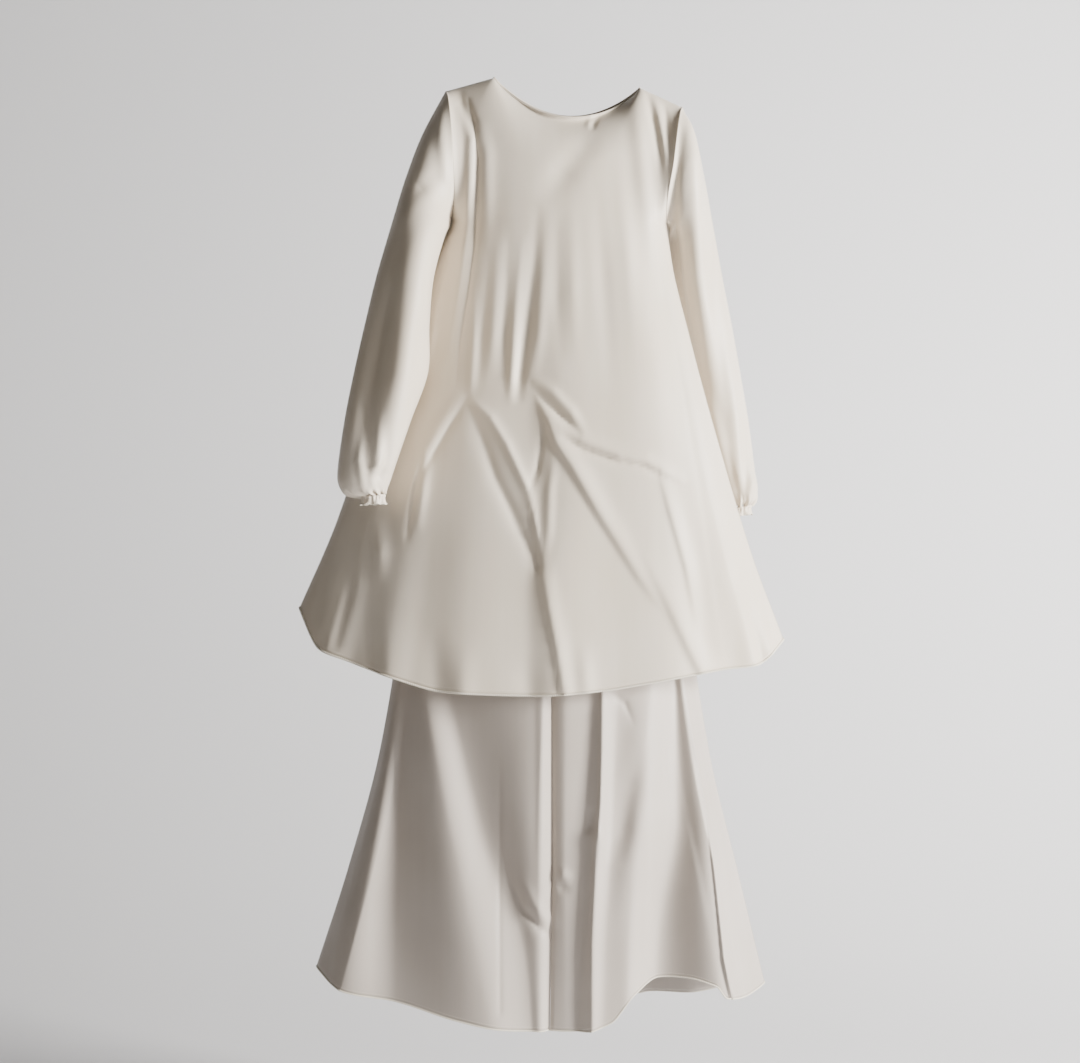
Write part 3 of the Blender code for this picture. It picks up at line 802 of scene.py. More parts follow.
def as_trim(piece: bpy.types.Object, material: bpy.types.Material) -> bpy.types.Object:
    """Gives a small piece its material."""
    piece.data.materials.append(material)
    return piece


@dataclass(frozen=True)
class Stitch:
    """The stitches of a row: from one to the next, each one's length, and the thread's radius."""

    pitch: float
    length: float
    radius: float


def stitch_row(name: str, line: np.ndarray, stitch: Stitch) -> bpy.types.Object:
    """Makes a row of separate stitches along a line.

    Args:
        name: The piece's name.
        line: Points along which the stitches lie.
        stitch: Their size.

    Returns:
        The stitches as one piece, riding on the body.
    """
    lengths = run_lengths(line)
    row = bmesh.new()
    for middle in (np.arange(int(lengths[-1] / stitch.pitch)) + 0.5) * stitch.pitch:
        ends = np.array([middle - stitch.length / 2, middle + stitch.length / 2])
        start, end = (Vector(point) for point in read_line(ends, lengths, line))
        lie = (end - start).to_track_quat("X", "Z").to_matrix().to_4x4()
        size = Matrix.Diagonal((stitch.length / 2, stitch.radius, stitch.radius, 1.0))
        bmesh.ops.create_icosphere(
            row, subdivisions=1, radius=1.0, matrix=Matrix.Translation((start + end) / 2) @ lie @ size
        )
    piece = place_object(name, smooth_mesh(name, row))
    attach(piece, BODY)
    return piece


# ---- Finishes ----


def feed(tree: bpy.types.NodeTree, node: bpy.types.Node, inputs: dict[str | int, object]) -> None:
    """Feeds a node's inputs.

    Args:
        tree: The node's tree.
        node: The node.
        inputs: Each input's socket to link it to, or the value to set it to.
    """
    for key, value in inputs.items():
        if isinstance(value, bpy.types.NodeSocket):
            tree.links.new(value, node.inputs[key])
        else:
            node.inputs[key].default_value = value


def add_node(
    tree: bpy.types.NodeTree, kind: str, inputs: dict[str | int, object] | None = None, **settings: object
) -> bpy.types.bpy_prop_collection:
    """Adds a node.

    Args:
        tree: The tree to add it to.
        kind: The node's type.
        inputs: What feed gives its inputs.
        **settings: Its own properties, which are set first.

    Returns:
        The node's outputs.
    """
    node = tree.nodes.new(kind)
    for label, value in settings.items():
        setattr(node, label, value)
    feed(tree, node, inputs or {})
    return node.outputs


def maths(tree: bpy.types.NodeTree, operation: str, *values: object) -> bpy.types.NodeSocket:
    """Adds a Math node with sockets or numbers for its inputs, and returns its output."""
    return add_node(tree, "ShaderNodeMath", dict(enumerate(values)), operation=operation)[0]


def new_group(
    name: str, inputs: dict[str, object]
) -> tuple[bpy.types.NodeTree, bpy.types.bpy_prop_collection]:
    """Starts a shader node group that reads a vector.

    Args:
        name: The group's name.
        inputs: Each further input's default, a number or a colour.

    Returns:
        The group, and the sockets of its inputs.
    """
    group = bpy.data.node_groups.new(name, "ShaderNodeTree")
    group.interface.new_socket("Vector", in_out="INPUT", socket_type="NodeSocketVector")
    for label, default in inputs.items():
        kind = "NodeSocketFloat" if isinstance(default, float) else "NodeSocketColor"
        group.interface.new_socket(label, in_out="INPUT", socket_type=kind).default_value = default
    return group, group.nodes.new("NodeGroupInput").outputs


def end_group(group: bpy.types.NodeTree, outputs: dict[str, bpy.types.NodeSocket]) -> bpy.types.NodeTree:
    """Gives a node group its outputs.

    Args:
        group: The group.
        outputs: Each output's name and the socket that feeds it.

    Returns:
        The group, finished.
    """
    for label, source in outputs.items():
        kind = "NodeSocketColor" if source.type == "RGBA" else "NodeSocketFloat"
        group.interface.new_socket(label, in_out="OUTPUT", socket_type=kind)
    feed(group, group.nodes.new("NodeGroupOutput"), outputs)
    return group


class EffectLibrary:
    """The node groups that the finishes share, each built once."""

    def __init__(self) -> None:
        """Builds the groups."""
        self.crepe_weave = self._crepe_weave()
        self.uneven_tone = self._uneven_tone()
        self.twisted_thread = self._twisted_thread()

    def _crepe_weave(self) -> bpy.types.NodeTree:
        """Fine crossed threads with the pebbled grain of crepe.

        Returns:
            A group with a height and a mask of the raised threads.
        """
        group, ins = new_group("crepe_weave", {"Threads per metre": 1400.0, "Grain per metre": 900.0})
        split = add_node(group, "ShaderNodeSeparateXYZ", {0: ins["Vector"]})
        turns = maths(group, "MULTIPLY", ins["Threads per metre"], 2 * math.pi)
        warp, weft = (maths(group, "SINE", maths(group, "MULTIPLY", split[axis], turns)) for axis in "XY")
        threads = maths(group, "MULTIPLY", warp, weft)
        grain = add_node(
            group,
            "ShaderNodeTexNoise",
            {"Vector": ins["Vector"], "Scale": ins["Grain per metre"], "Detail": 3.0, "Roughness": 0.6},
            noise_dimensions="3D",
        )
        height = maths(group, "MULTIPLY_ADD", threads, 0.25, grain[0])
        raised = maths(group, "MULTIPLY_ADD", threads, 0.5, 0.5)
        return end_group(group, {"Height": height, "Raised": raised})

    def _uneven_tone(self) -> bpy.types.NodeTree:
        """Slow changes of tone from handling and from the lie of the yarn.

        Returns:
            A group with a colour and a share that also suits roughness.
        """
        group, ins = new_group(
            "uneven_tone",
            {
                "Light": (0.7, 0.7, 0.7, 1.0),
                "Deep": (0.6, 0.6, 0.6, 1.0),
                "Patches per metre": 5.0,
                "Streaks per metre": 60.0,
            },
        )
        stretch = {0: ins["Vector"], 1: (1.0, 1.0, 0.06)}
        stretched = add_node(group, "ShaderNodeVectorMath", stretch, operation="MULTIPLY")[0]
        patches, streaks = (
            add_node(
                group,
                "ShaderNodeTexNoise",
                {"Vector": vector, "Scale": ins[f"{kind} per metre"], "Detail": detail},
                noise_dimensions="3D",
            )[0]
            for kind, vector, detail in (("Patches", ins["Vector"], 2.0), ("Streaks", stretched, 3.0))
        )
        both = maths(group, "MULTIPLY_ADD", streaks, 0.35, patches)
        share = add_node(group, "ShaderNodeMapRange", {"Value": both, "From Min": 0.45, "From Max": 0.95})[0]
        blend = {"Factor": share, 6: ins["Deep"], 7: ins["Light"]}
        colour = add_node(group, "ShaderNodeMix", blend, data_type="RGBA")[2]
        return end_group(group, {"Colour": colour, "Share": share})

    def _twisted_thread(self) -> bpy.types.NodeTree:
        """Slanting yarns of an overlocked edge.

        Returns:
            A group with a height and a mask of the grooves between yarns.
        """
        group, ins = new_group("twisted_thread", {"Yarns per metre": 700.0, "Slant": 1.0})
        split = add_node(group, "ShaderNodeSeparateXYZ", {0: ins["Vector"]})
        slanted = maths(group, "MULTIPLY_ADD", split["Y"], ins["Slant"], split["X"])
        turns = maths(group, "MULTIPLY", ins["Yarns per metre"], 2 * math.pi)
        wave = maths(group, "SINE", maths(group, "MULTIPLY", slanted, turns))
        height = maths(group, "MULTIPLY_ADD", wave, 0.5, 0.5)
        return end_group(group, {"Height": height, "Groove": maths(group, "SUBTRACT", 1.0, height)})


def start_material(name: str) -> tuple[bpy.types.Material, bpy.types.NodeTree, bpy.types.Node]:
    """Starts a material, and returns it with its node tree and its shader."""
    material = bpy.data.materials.new(name)
    material.use_nodes = True
    return material, material.node_tree, material.node_tree.nodes["Principled BSDF"]


@dataclass(frozen=True)
class SatinCrepe:
    """The soft, slightly lustrous cloth of the set."""

    name: str
    light: tuple[float, float, float]
    deep: tuple[float, float, float]
    roughness_low: float = 0.42
    roughness_high: float = 0.56
    sheen: float = 0.35
    sheen_roughness: float = 0.35
    specular: float = 0.42
    grain_depth: float = 0.00006
    grain_strength: float = 0.5
    painted_thread_shade: float = 0.06  # painted shade: how much darker the colour is painted between the raised threads

    def build(self, effects: EffectLibrary) -> bpy.types.Material:
        """Builds the material.

        Args:
            effects: The shared node groups.

        Returns:
            The material.
        """
        material, tree, shader = start_material(self.name)
        place = add_node(tree, "ShaderNodeTexCoord")
        colours = {"Light": (*self.light, 1.0), "Deep": (*self.deep, 1.0)}
        tone = add_node(
            tree, "ShaderNodeGroup", {"Vector": place["Object"], **colours}, node_tree=effects.uneven_tone
        )
        weave = add_node(tree, "ShaderNodeGroup", {"Vector": place["UV"]}, node_tree=effects.crepe_weave)
        # Painted shade: the colour is darkened a little in the gaps between the raised threads.
        grey = add_node(tree, "ShaderNodeCombineColor", {channel: weave["Raised"] for channel in range(3)})
        dim = {"Factor": self.painted_thread_shade, 6: tone["Colour"], 7: grey[0]}
        ends = {"To Min": self.roughness_high, "To Max": self.roughness_low}
        rough = add_node(tree, "ShaderNodeMapRange", {"Value": tone["Share"], **ends})
        grain = {"Strength": self.grain_strength, "Distance": self.grain_depth, "Height": weave["Height"]}
        inputs = {
            "Base Color": add_node(tree, "ShaderNodeMix", dim, data_type="RGBA", blend_type="MULTIPLY")[2],
            "Roughness": rough[0],
            "Normal": add_node(tree, "ShaderNodeBump", grain)[0],
            "Metallic": 0.0,
            "Specular IOR Level": self.specular,
            "Sheen Weight": self.sheen,
            "Sheen Roughness": self.sheen_roughness,
        }
        feed(tree, shader, inputs)
        return material


@dataclass(frozen=True)
class OverlockThread:
    """The glossy cream thread of the edges and stitches."""

    name: str
    light: tuple[float, float, float]
    # the deep colour is painted shade, laid into the grooves between the yarns
    deep: tuple[float, float, float]
    roughness: float = 0.40
    sheen: float = 0.2
    yarns: float = 650.0
    twist_depth: float = 0.0002
    twist_strength: float = 0.6

    def build(self, effects: EffectLibrary) -> bpy.types.Material:
        """Builds the material.

        Args:
            effects: The shared node groups.

        Returns:
            The material.
        """
        material, tree, shader = start_material(self.name)
        place = {"Vector": add_node(tree, "ShaderNodeTexCoord")["UV"], "Yarns per metre": self.yarns}
        twist = add_node(tree, "ShaderNodeGroup", place, node_tree=effects.twisted_thread)
        # Painted shade: the grooves between the yarns take the deep colour.
        blend = {"Factor": twist["Groove"], 6: (*self.light, 1.0), 7: (*self.deep, 1.0)}
        bump = {"Strength": self.twist_strength, "Distance": self.twist_depth, "Height": twist["Height"]}
        inputs = {
            "Base Color": add_node(tree, "ShaderNodeMix", blend, data_type="RGBA")[2],
            "Normal": add_node(tree, "ShaderNodeBump", bump)[0],
            "Roughness": self.roughness,
            "Metallic": 0.0,
            "Sheen Weight": self.sheen,
        }
        feed(tree, shader, inputs)
        return material


class Finishes:
    """Every material of the set, built once."""

    def __init__(self) -> None:
        """Builds the materials."""
        effects = EffectLibrary()
        self.tunic_cloth = SatinCrepe(
            "tunic_satin_crepe", light=(0.74, 0.665, 0.565), deep=(0.66, 0.575, 0.465)
        ).build(effects)
        # Painted shade: the skirt is the tunic's satin crepe, with both colours painted darker to stand in
        # for the shade it is in.
        self.skirt_cloth = SatinCrepe(
            "skirt_satin_crepe", light=(0.51, 0.455, 0.405), deep=(0.44, 0.385, 0.335)
        ).build(effects)
        # The thread's deep colour is the painted shade of its grooves.
        self.thread = OverlockThread(
            "cream_overlock", light=(0.88, 0.83, 0.72), deep=(0.60, 0.53, 0.42)
        ).build(effects)


# ---- Sub-assemblies ----

TUNIC_LEVELS = (
    Level(0.00, -0.181, -0.014, 0.175, -0.038, 0.000, 0.000, 0.052, 0.050),
    Level(0.12, -0.177, -0.108, 0.166, -0.125, 0.002, -0.002, 0.054, 0.052),
    Level(0.24, -0.173, -0.205, 0.152, -0.213, 0.006, -0.006, 0.060, 0.060),
    Level(0.30, -0.195, -0.2515, 0.1565, -0.262, 0.010, -0.010, 0.063, 0.066),
    Level(0.45, -0.236, -0.366, 0.184, -0.385, 0.020, -0.022, 0.072, 0.080),
    Level(0.70, -0.311, -0.557, 0.240, -0.590, 0.028, -0.026, 0.092, 0.098),
    Level(0.85, -0.352, -0.672, 0.278, -0.712, 0.030, -0.018, 0.104, 0.098),
    Level(1.00, -0.403, -0.789, 0.325, -0.835, 0.030, -0.008, 0.118, 0.110),
)

TUNIC_HEM = (
    HemPoint(0.00, 0.000, 0.000),
    HemPoint(0.05, 0.058, 0.030),
    HemPoint(0.10, 0.069, 0.048),
    HemPoint(0.20, 0.089, 0.068),
    HemPoint(0.31, 0.104, 0.082),
    HemPoint(0.47, 0.101, 0.092),
    HemPoint(0.62, 0.087, 0.088),
    HemPoint(0.72, 0.071, 0.076),
    HemPoint(0.87, 0.046, 0.050),
    HemPoint(0.94, 0.037, 0.024),
    HemPoint(1.00, 0.000, 0.000),
)

SKIRT_LEVELS = (
    Level(0.00, -0.175, -0.4355, 0.125, -0.4355, 0.004, -0.004, 0.046, 0.044),
    Level(0.16, -0.222, -0.580, 0.168, -0.580, 0.006, -0.006, 0.064, 0.062),
    Level(0.40, -0.246, -0.795, 0.184, -0.795, 0.004, -0.004, 0.078, 0.078),
    Level(0.63, -0.279, -1.000, 0.215, -1.005, 0.000, 0.000, 0.090, 0.090),
    Level(0.83, -0.326, -1.175, 0.259, -1.188, 0.004, 0.004, 0.104, 0.100),
    Level(1.00, -0.375, -1.327, 0.2985, -1.351, 0.008, 0.008, 0.112, 0.108),
)

SKIRT_HEM = (
    HemPoint(0.00, 0.000, 0.000),
    HemPoint(0.07, 0.021, 0.014),
    HemPoint(0.20, 0.034, 0.026),
    HemPoint(0.32, 0.050, 0.034),
    HemPoint(0.47, 0.061, 0.040),
    HemPoint(0.59, 0.058, 0.046),
    HemPoint(0.65, 0.045, 0.050),
    HemPoint(0.70, 0.006, 0.050),
    HemPoint(0.76, -0.018, 0.044),
    HemPoint(0.82, -0.020, 0.036),
    HemPoint(0.88, -0.012, 0.030),
    HemPoint(0.905, 0.006, 0.026),
    HemPoint(0.95, 0.008, 0.012),
    HemPoint(1.00, 0.000, 0.000),
)

S, P, LL, LR = CreaseShape.SOFT, CreaseShape.SHARP, CreaseShape.LEAN_LEFT, CreaseShape.LEAN_RIGHT

TUNIC_FRONT_FLUTES = flutes(
    (0.45, 0.70, 0.85, 1.0),
    (-216, -278, -316, -358, 0, 1, 3, 6),
    (-202, -250, -284, -312, 0, -1, -2, -5),
    (-186, -220, -244, -264, 0, 1, 1, 3),
    (-160, -185, -205, -218, 0, 0, -1, -2),
    (-128, -138, -146, -150, 1, 1, 2, 2),
    (-60, -56, -58, -60, -2, -1, -1, -1),
    (-10, 0, -20, -14, 1, 3, 5, 5),
    (60, 68, 74, 75, -1, 0, -1, -1),
    (118, 138, 148, 152, 2, 1, 1, 2),
    (158, 192, 212, 232, -1, -2, -4, -6),
    (172, 218, 250, 284, 0, 3, 6, 7),
)

TUNIC_BACK_FLUTES = flutes(
    (0.45, 0.70, 0.85, 1.0),
    (-205, -262, -296, -330, 2, 6, 10, 12),
    (-165, -210, -238, -262, -3, -6, -10, -12),
    (-115, -145, -160, -175, 4, 8, 11, 13),
    (-62, -78, -85, -92, -3, -6, -9, -12),
    (-8, 0, 2, 4, 4, 8, 11, 13),
    (45, 62, 72, 84, -3, -6, -9, -12),
    (98, 125, 145, 165, 4, 8, 11, 13),
    (135, 170, 195, 220, -2, -5, -8, -10),
    (160, 208, 238, 270, 1, 5, 8, 10),
)

SKIRT_FRONT_FLUTES = flutes(
    (0.52, 0.73, 0.90, 1.0),
    (-252, -290, -330, -348, 3, 22, 26, 22),
    (-240, -248, -250, -250, -2, -14, -18, -16),
    (-211, -172, -134, -112, 4, -2, 4, 5),
    (-171, -118, -62, -52, -13, -21, -13, -9),
    (-36, -43, -41, -40, 7, 0, -8, -6),
    (-21, -22, -23, -24, 1, -9, -14, -13),
    (0, -1, 0, 0, 5, -4, -9, -9),
    (32, 26, 18, 14, 3, -4, -8, -8),
    (53, 47, 36, 34, 8, 5, 3, 3),
    (78, 68, 58, 56, 2, -2, -1, 0),
    (122, 104, 88, 84, 6, 7, 1, 1),
    (160, 161, 138, 133, -6, -13, -22, -26),
    (174, 210, 226, 238, 5, 22, 30, 30),
)

SKIRT_BACK_FLUTES = flutes(
    (0.52, 0.73, 0.90, 1.0),
    (-215, -250, -285, -305, 4, 9, 14, 16),
    (-186, -208, -226, -236, -5, -10, -15, -17),
    (-150, -158, -164, -168, 5, 8, 12, 13),
    (-110, -114, -117, -118, -2, -4, -6, -7),
    (-80, -82, -84, -84, 3, 5, 7, 8),
    (-32, -33, -36, -38, -3, -6, -8, -9),
    (12, 15, 18, 20, 5, 9, 12, 14),
    (50, 60, 68, 72, -5, -9, -12, -14),
    (90, 108, 120, 130, 5, 10, 14, 16),
    (130, 155, 176, 190, -5, -10, -14, -16),
    (162, 198, 230, 250, 3, 7, 12, 14),
)

TUNIC_FRONT_CREASES = creases(
    # down from the right shoulder
    (S, 8, (-156, -30, 1), (-150, -57, 2), (-141, -90, 4), (-143, -150, 5), (-148, -220, 4),
     (-162, -327, 2), (-176, -430, 0)),
    (P, 6, (-146, -30, -1), (-137, -68, -3), (-131, -120, -5), (-133, -177, -4), (-136, -252, -3),
     (-146, -327, -2), (-156, -387, -2), (-164, -470, 0)),
    (S, 9, (-166, -8, -1), (-156, -36, -5), (-143, -66, -4), (-135, -95, 0)),
    (S, 11, (-128, -60, 0), (-118, -117, 3), (-118, -177, 3), (-119, -260, 0)),
    (S, 6, (-172, -50, -3), (-167, -110, -4), (-164, -170, -4), (-170, -225, -2)),
    (S, 6, (-176, -240, -3), (-188, -290, -3), (-206, -360, 0)),
    (S, 7, (-186, -300, 1), (-200, -380, 3), (-214, -460, 0)),
    # streaks of the chest
    (S, 6, (-136, -300, 0), (-137, -387, 2), (-140, -447, 2), (-141, -480, 0)),
    (S, 6, (-114, -260, 0), (-124, -387, -2), (-129, -470, 0)),
    (S, 7, (-98, -230, 0), (-108, -387, 2), (-112, -450, 0)),
    (S, 6, (-84, -220, 0), (-92, -387, -2), (-94, -455, 0)),
    (S, 7, (-64, -230, 0), (-72, -320, 2), (-77, -387, 4), (-80, -447, 4.5), (-81, -490, 0)),
    (S, 8, (-42, -180, 0), (-48, -280, -1.8), (-59, -387, -4), (-68, -447, -4.5), (-73, -490, 0)),
    (S, 9, (-28, -200, 0), (-34, -310, 1.8), (-40, -387, 2.5), (-51, -460, 0)),
    (S, 9, (-12, -190, 0), (-14, -330, -1.8), (-10, -430, 0)),
    (S, 10, (8, -180, 0), (10, -320, 1.8), (14, -440, 0)),
    (S, 12, (44, -150, 0), (54, -300, -1.8), (64, -480, 0)),
    (S, 12, (78, -110, 0), (90, -260, 2), (102, -420, 0)),
    # slanting shade and small tucks under the neck
    (S, 20, (45, -64, 0), (25, -107, -3), (-5, -146, -4), (-36, -195, 0)),
    (S, 4, (47, -58, -1), (41, -69, -2.5), (38, -82, 0)),
    (S, 4, (36, -57, 0.8), (33, -68, 1.6), (31, -78, 0)),
    # down from the left neck point
    (S, 14, (104, -16, 2), (108, -80, 4), (116, -170, 4), (128, -260, 2), (136, -330, 0)),
    (S, 6, (122, -26, -2), (128, -60, -4), (138, -117, -2), (142, -150, 0)),
    (S, 6, (134, -26, 1), (139, -60, 3), (147, -117, 3), (150, -170, 0)),
    (S, 5, (147, -40, -1), (151, -70, -3), (155, -120, -2), (154, -180, 0)),
    (S, 5, (174, -40, -5), (168, -70, -9), (164, -100, -6), (158, -130, 0)),
    # the fan at the middle: the crease that leans to the right
    (P, 10, (-146, -477, -1), (-170, -516, -4), (-195, -558, -4), (-214, -590, -2)),
    (S, 12, (-160, -480, 1), (-184, -516, 3), (-208, -558, 4), (-226, -610, 3), (-238, -665, 0)),
    (P, 7, (-214, -565, -1), (-223, -614, -5), (-229, -648, -5), (-235, -686, -1)),
    (S, 8, (-205, -570, 1), (-212, -615, 4), (-219, -665, 1)),
    # the long narrow facet: its lower edge, then its upper one
    (P, 14, (-146, -479, -1), (-124, -536, -5), (-104, -594, -6), (-73, -658, -6), (-41, -725, -3)),
    (P, 10, (-145, -478, 1), (-112, -507, 5), (-88, -546, 6), (-56, -614, 6), (-45, -672, 5),
     (-37, -728, 1)),
    # the short tuck and its ridge
    (P, 7, (-50, -463, -1), (-32, -483, -5), (-12, -502, -6), (18, -528, -2)),
    (S, 7, (-41, -457, 1), (-20, -471, 4), (7, -500, 4), (24, -528, 1)),
    # where the creases meet
    (P, 8, (-30, -500, 0), (-37, -546, -4), (-43, -585, -4), (-55, -616, -1)),
    (S, 7, (-16, -551, 0), (-25, -614, 3), (-27, -672, 3), (-33, -725, 0)),
    (P, 6, (-55, -618, -1), (-51, -672, -4), (-41, -728, -4)),
    # the long ridge to the left hem
    (LR, 16, (-46, -466, 1), (-29, -510, 5), (-15, -546, 6), (9, -581, 6), (48, -648, 5), (106, -740, 3),
     (145, -793, 0)),
    (LR, 22, (100, -680, 0), (145, -769, 3), (178, -841, 5), (200, -885, 5)),
    # the crease across to the left
    (LR, 12, (-7, -529, 1), (24, -545, 5), (75, -564, 6), (114, -572, 5), (141, -586, 3), (175, -603, 0)),
    (P, 6, (-7, -537, -1), (19, -552, -4), (73, -571, -4), (112, -579, -3), (138, -593, -2),
     (175, -608, 0)),
    (LR, 13, (138, -595, 1), (152, -648, 3), (174, -725, 3), (193, -822, 0)),
    # the pressed line down to the hem
    (LR, 14, (-37, -728, 3), (-27, -783, 4), (-15, -841, 5), (-5, -905, 5)),
    # the right flare
    (S, 14, (-278, -650, 0), (-277, -706, 6), (-279, -755, 0)),
    (S, 12, (-335, -690, 0), (-348, -740, 5), (-368, -821, 4)),
    (S, 10, (-312, -690, 0), (-324, -770, -4), (-342, -840, -3)),
    (S, 12, (-293, -780, 0), (-286, -843, -5), (-281, -890, -5)),
    # the left flare
    (S, 20, (170, -470, 0), (195, -623, 3), (219, -745, 4), (232, -872, 3)),
    (S, 8, (262, -750, 0), (280, -830, -5), (288, -865, -7)),
    (S, 7, (284, -770, 0), (299, -830, 5), (306, -860, 6)),
    # ripples of the hem
    (S, 16, (-196, -810, 0), (-191, -870, -2), (-188, -905, -3)),
    (S, 16, (-150, -830, 0), (-150, -880, 2), (-150, -910, 3)),
    (S, 18, (-60, -850, 0), (-56, -890, -2), (-54, -915, -2)),
    (S, 12, (22, -830, 0), (26, -880, 3), (28, -910, 3)),
)

TUNIC_BACK_CREASES = creases(
    (LR, 16, (-130, -40, 2), (-132, -110, 6), (-140, -360, 0)),
    (LL, 16, (118, -50, 2), (124, -120, 6), (140, -340, 0)),
    (S, 20, (-60, -120, 0), (-20, -190, -4), (30, -240, 0)),
    (LL, 14, (-90, -440, 1), (-60, -540, 5), (-20, -660, 0)),
    (LR, 14, (70, -430, 1), (40, -530, 5), (0, -660, 0)),
    (P, 9, (-30, -500, 0), (20, -540, -4), (90, -560, 0)),
    (S, 14, (-180, -480, 0), (-200, -600, 5), (-230, -720, 0)),
    (S, 14, (140, -480, 0), (165, -600, 5), (190, -720, 0)),
)

SKIRT_FRONT_CREASES = creases(
    # the centre seam, and the strip of cloth that stands up beside it
    (P, 7, (-21, -860, -3.5), (-21, -1165, -4), (-25, -1262, -4), (-27, -1412, -4)),
    (S, 8, (-36, -880, 2), (-35, -1100, 3), (-37, -1220, 1)),
    # the pressed pleat, which is pinched half way down
    (LR, 8, (51, -880, 4), (50, -996, 5), (48, -1068, 6), (44, -1107, 6)),
    (LR, 9, (41, -1122, 6), (39, -1189, 5), (36, -1262, 4), (36, -1405, 4)),
    (S, 7, (47, -1112, 4), (50, -1128, 3), (48, -1165, 0)),
    (S, 7, (36, -1085, -3), (34, -1104, -5), (28, -1118, 0)),
    (S, 8, (-18, -1166, 0), (-6, -1172, 3.5), (10, -1178, 0)),
    (S, 7, (-20, -1184, 0), (-6, -1192, -3), (6, -1200, 0)),
    (P, 7, (60, -905, -2), (85, -925, -3), (100, -960, 0)),
    # the seam between two gores
    (P, 5, (-98, -1000, 0), (-98, -1180, -1.4), (-97, -1370, -1.6)),
    # the steep side of the great curved fold
    (P, 10, (-98, -1120, 0), (-88, -1170, -2), (-66, -1222, -5), (-40, -1250, -5), (-24, -1262, -1)),
    (S, 9, (-72, -1170, 0), (-48, -1215, 3), (-30, -1238, 4), (-22, -1246, 1)),
    (S, 16, (110, -980, 0), (96, -1045, -5), (84, -1110, -5), (70, -1160, 0)),
    # the flute at the left side
    (LR, 6, (173, -880, 1), (190, -996, 2), (207, -1083, 3), (218, -1189, 4), (229, -1300, 5),
     (240, -1350, 5)),
)

SKIRT_BACK_CREASES = creases(
    (P, 7, (-26, -600, -3), (-28, -1000, -3.5), (-36, -1380, -3.5)),
    (LL, 12, (-140, -900, 2), (-136, -1120, 5), (-150, -1360, 5)),
    (LR, 12, (94, -900, 2), (104, -1120, 5), (132, -1350, 5)),
)

RIGHT_RINGS = rings(
    (-172.5, -211, -214.5, -78, -2, 52),
    (-174.5, -220, -240, -147, -10, 54),
    (-181.5, -238, -260.7, -222, -28, 53),
    (-196, -300, -280, -296, -48, 51),
    (-201.5, -369, -296.5, -369, -60, 48),
    (-203, -440, -311.6, -440, -69, 45),
    (-227.5, -511, -325, -511, -75, 43),
    (-250, -577, -334.6, -581.5, -78, 40),
    (-258, -601, -333, -607, -78, 37),
    (-263, -613.5, -322.5, -619.5, -78, 29),
    (-265.5, -618.5, -299, -621.5, -78, 17),
)

LEFT_RINGS = rings(
    (153, -219, 194, -82, 3, 52),
    (154, -229, 209, -145, 12, 52),
    (155.5, -246, 223.6, -216, 28, 50),
    (164, -300, 239, -292, 42, 47),
    (178, -366, 253.5, -360.5, 50, 45),
    (190, -436, 267, -433.5, 54, 42),
    (206, -508, 279.5, -506, 56, 40),
    (229, -578, 289, -578, 57, 38),
    (239, -606, 293.5, -605, 57, 35),
    (247, -627, 291.5, -624, 56, 27),
    (254.5, -637.5, 283, -632.5, 55, 16.5),
)

RIGHT_SLEEVE_FRONT = creases(
    (S, 10, (-183, -40, 2), (-182, -90, 4), (-179, -150, 2)),
    (S, 14, (-178, -140, 0), (-214, -168, -4), (-244, -195, 0)),
    (S, 18, (-196, -190, 0), (-210, -250, 6), (-222, -325, 11), (-232, -385, 13), (-240, -450, 13),
     (-250, -510, 10), (-262, -570, 4)),
    (S, 18, (-240, -220, 0), (-258, -290, -6), (-270, -350, -9), (-282, -420, -11), (-290, -480, -10),
     (-296, -540, -6), (-298, -590, -2)),
    (S, 7, (-270, -500, 0), (-273, -560, 4), (-281, -612, 2)),
    (S, 6, (-258, -520, 0), (-263, -570, -3), (-272, -610, -2)),
    (S, 7, (-296, -520, 0), (-300, -570, 3), (-293, -612, 2)),
    (S, 5, (-262, -560, 0), (-274, -578, 3), (-286, -586, 0)),
    (S, 5, (-262, -584, 0), (-272, -594, -3), (-284, -602, 0)),
)

RIGHT_SLEEVE_BACK = creases(
    (S, 16, (-200, -120, 0), (-232, -280, 5), (-262, -460, 0)),
    (S, 14, (-225, -220, 0), (-258, -380, -5), (-285, -540, 0)),
    (S, 10, (-270, -440, 0), (-285, -540, 4), (-286, -610, 0)),
)

LEFT_SLEEVE_FRONT = creases(
    (S, 12, (180, -60, 4), (187, -120, 8), (190, -200, 9), (198, -290, 8), (212, -380, 5), (230, -480, 1)),
    (S, 10, (162, -80, -5), (157, -160, -9), (157, -220, -9), (166, -300, -8), (184, -390, -5),
     (206, -470, -2)),
    (S, 14, (206, -140, 0), (226, -320, -4), (248, -500, 0)),
    (S, 10, (238, -380, 0), (256, -500, 4), (268, -610, 1)),
    (S, 8, (262, -460, 0), (272, -560, -4), (273, -620, -2)),
    (S, 8, (216, -470, 1), (234, -540, 5), (254, -610, 2)),
    (S, 6, (240, -540, 0), (252, -590, -4), (262, -625, -3)),
    (S, 6, (280, -560, 0), (282, -600, 4), (276, -628, 2)),
)

LEFT_SLEEVE_BACK = creases(
    (S, 16, (190, -120, 0), (214, -280, 5), (240, -460, 0)),
    (S, 14, (208, -220, 0), (232, -380, -5), (258, -540, 0)),
    (S, 10, (246, -440, 0), (262, -540, 4), (268, -610, 0)),
)


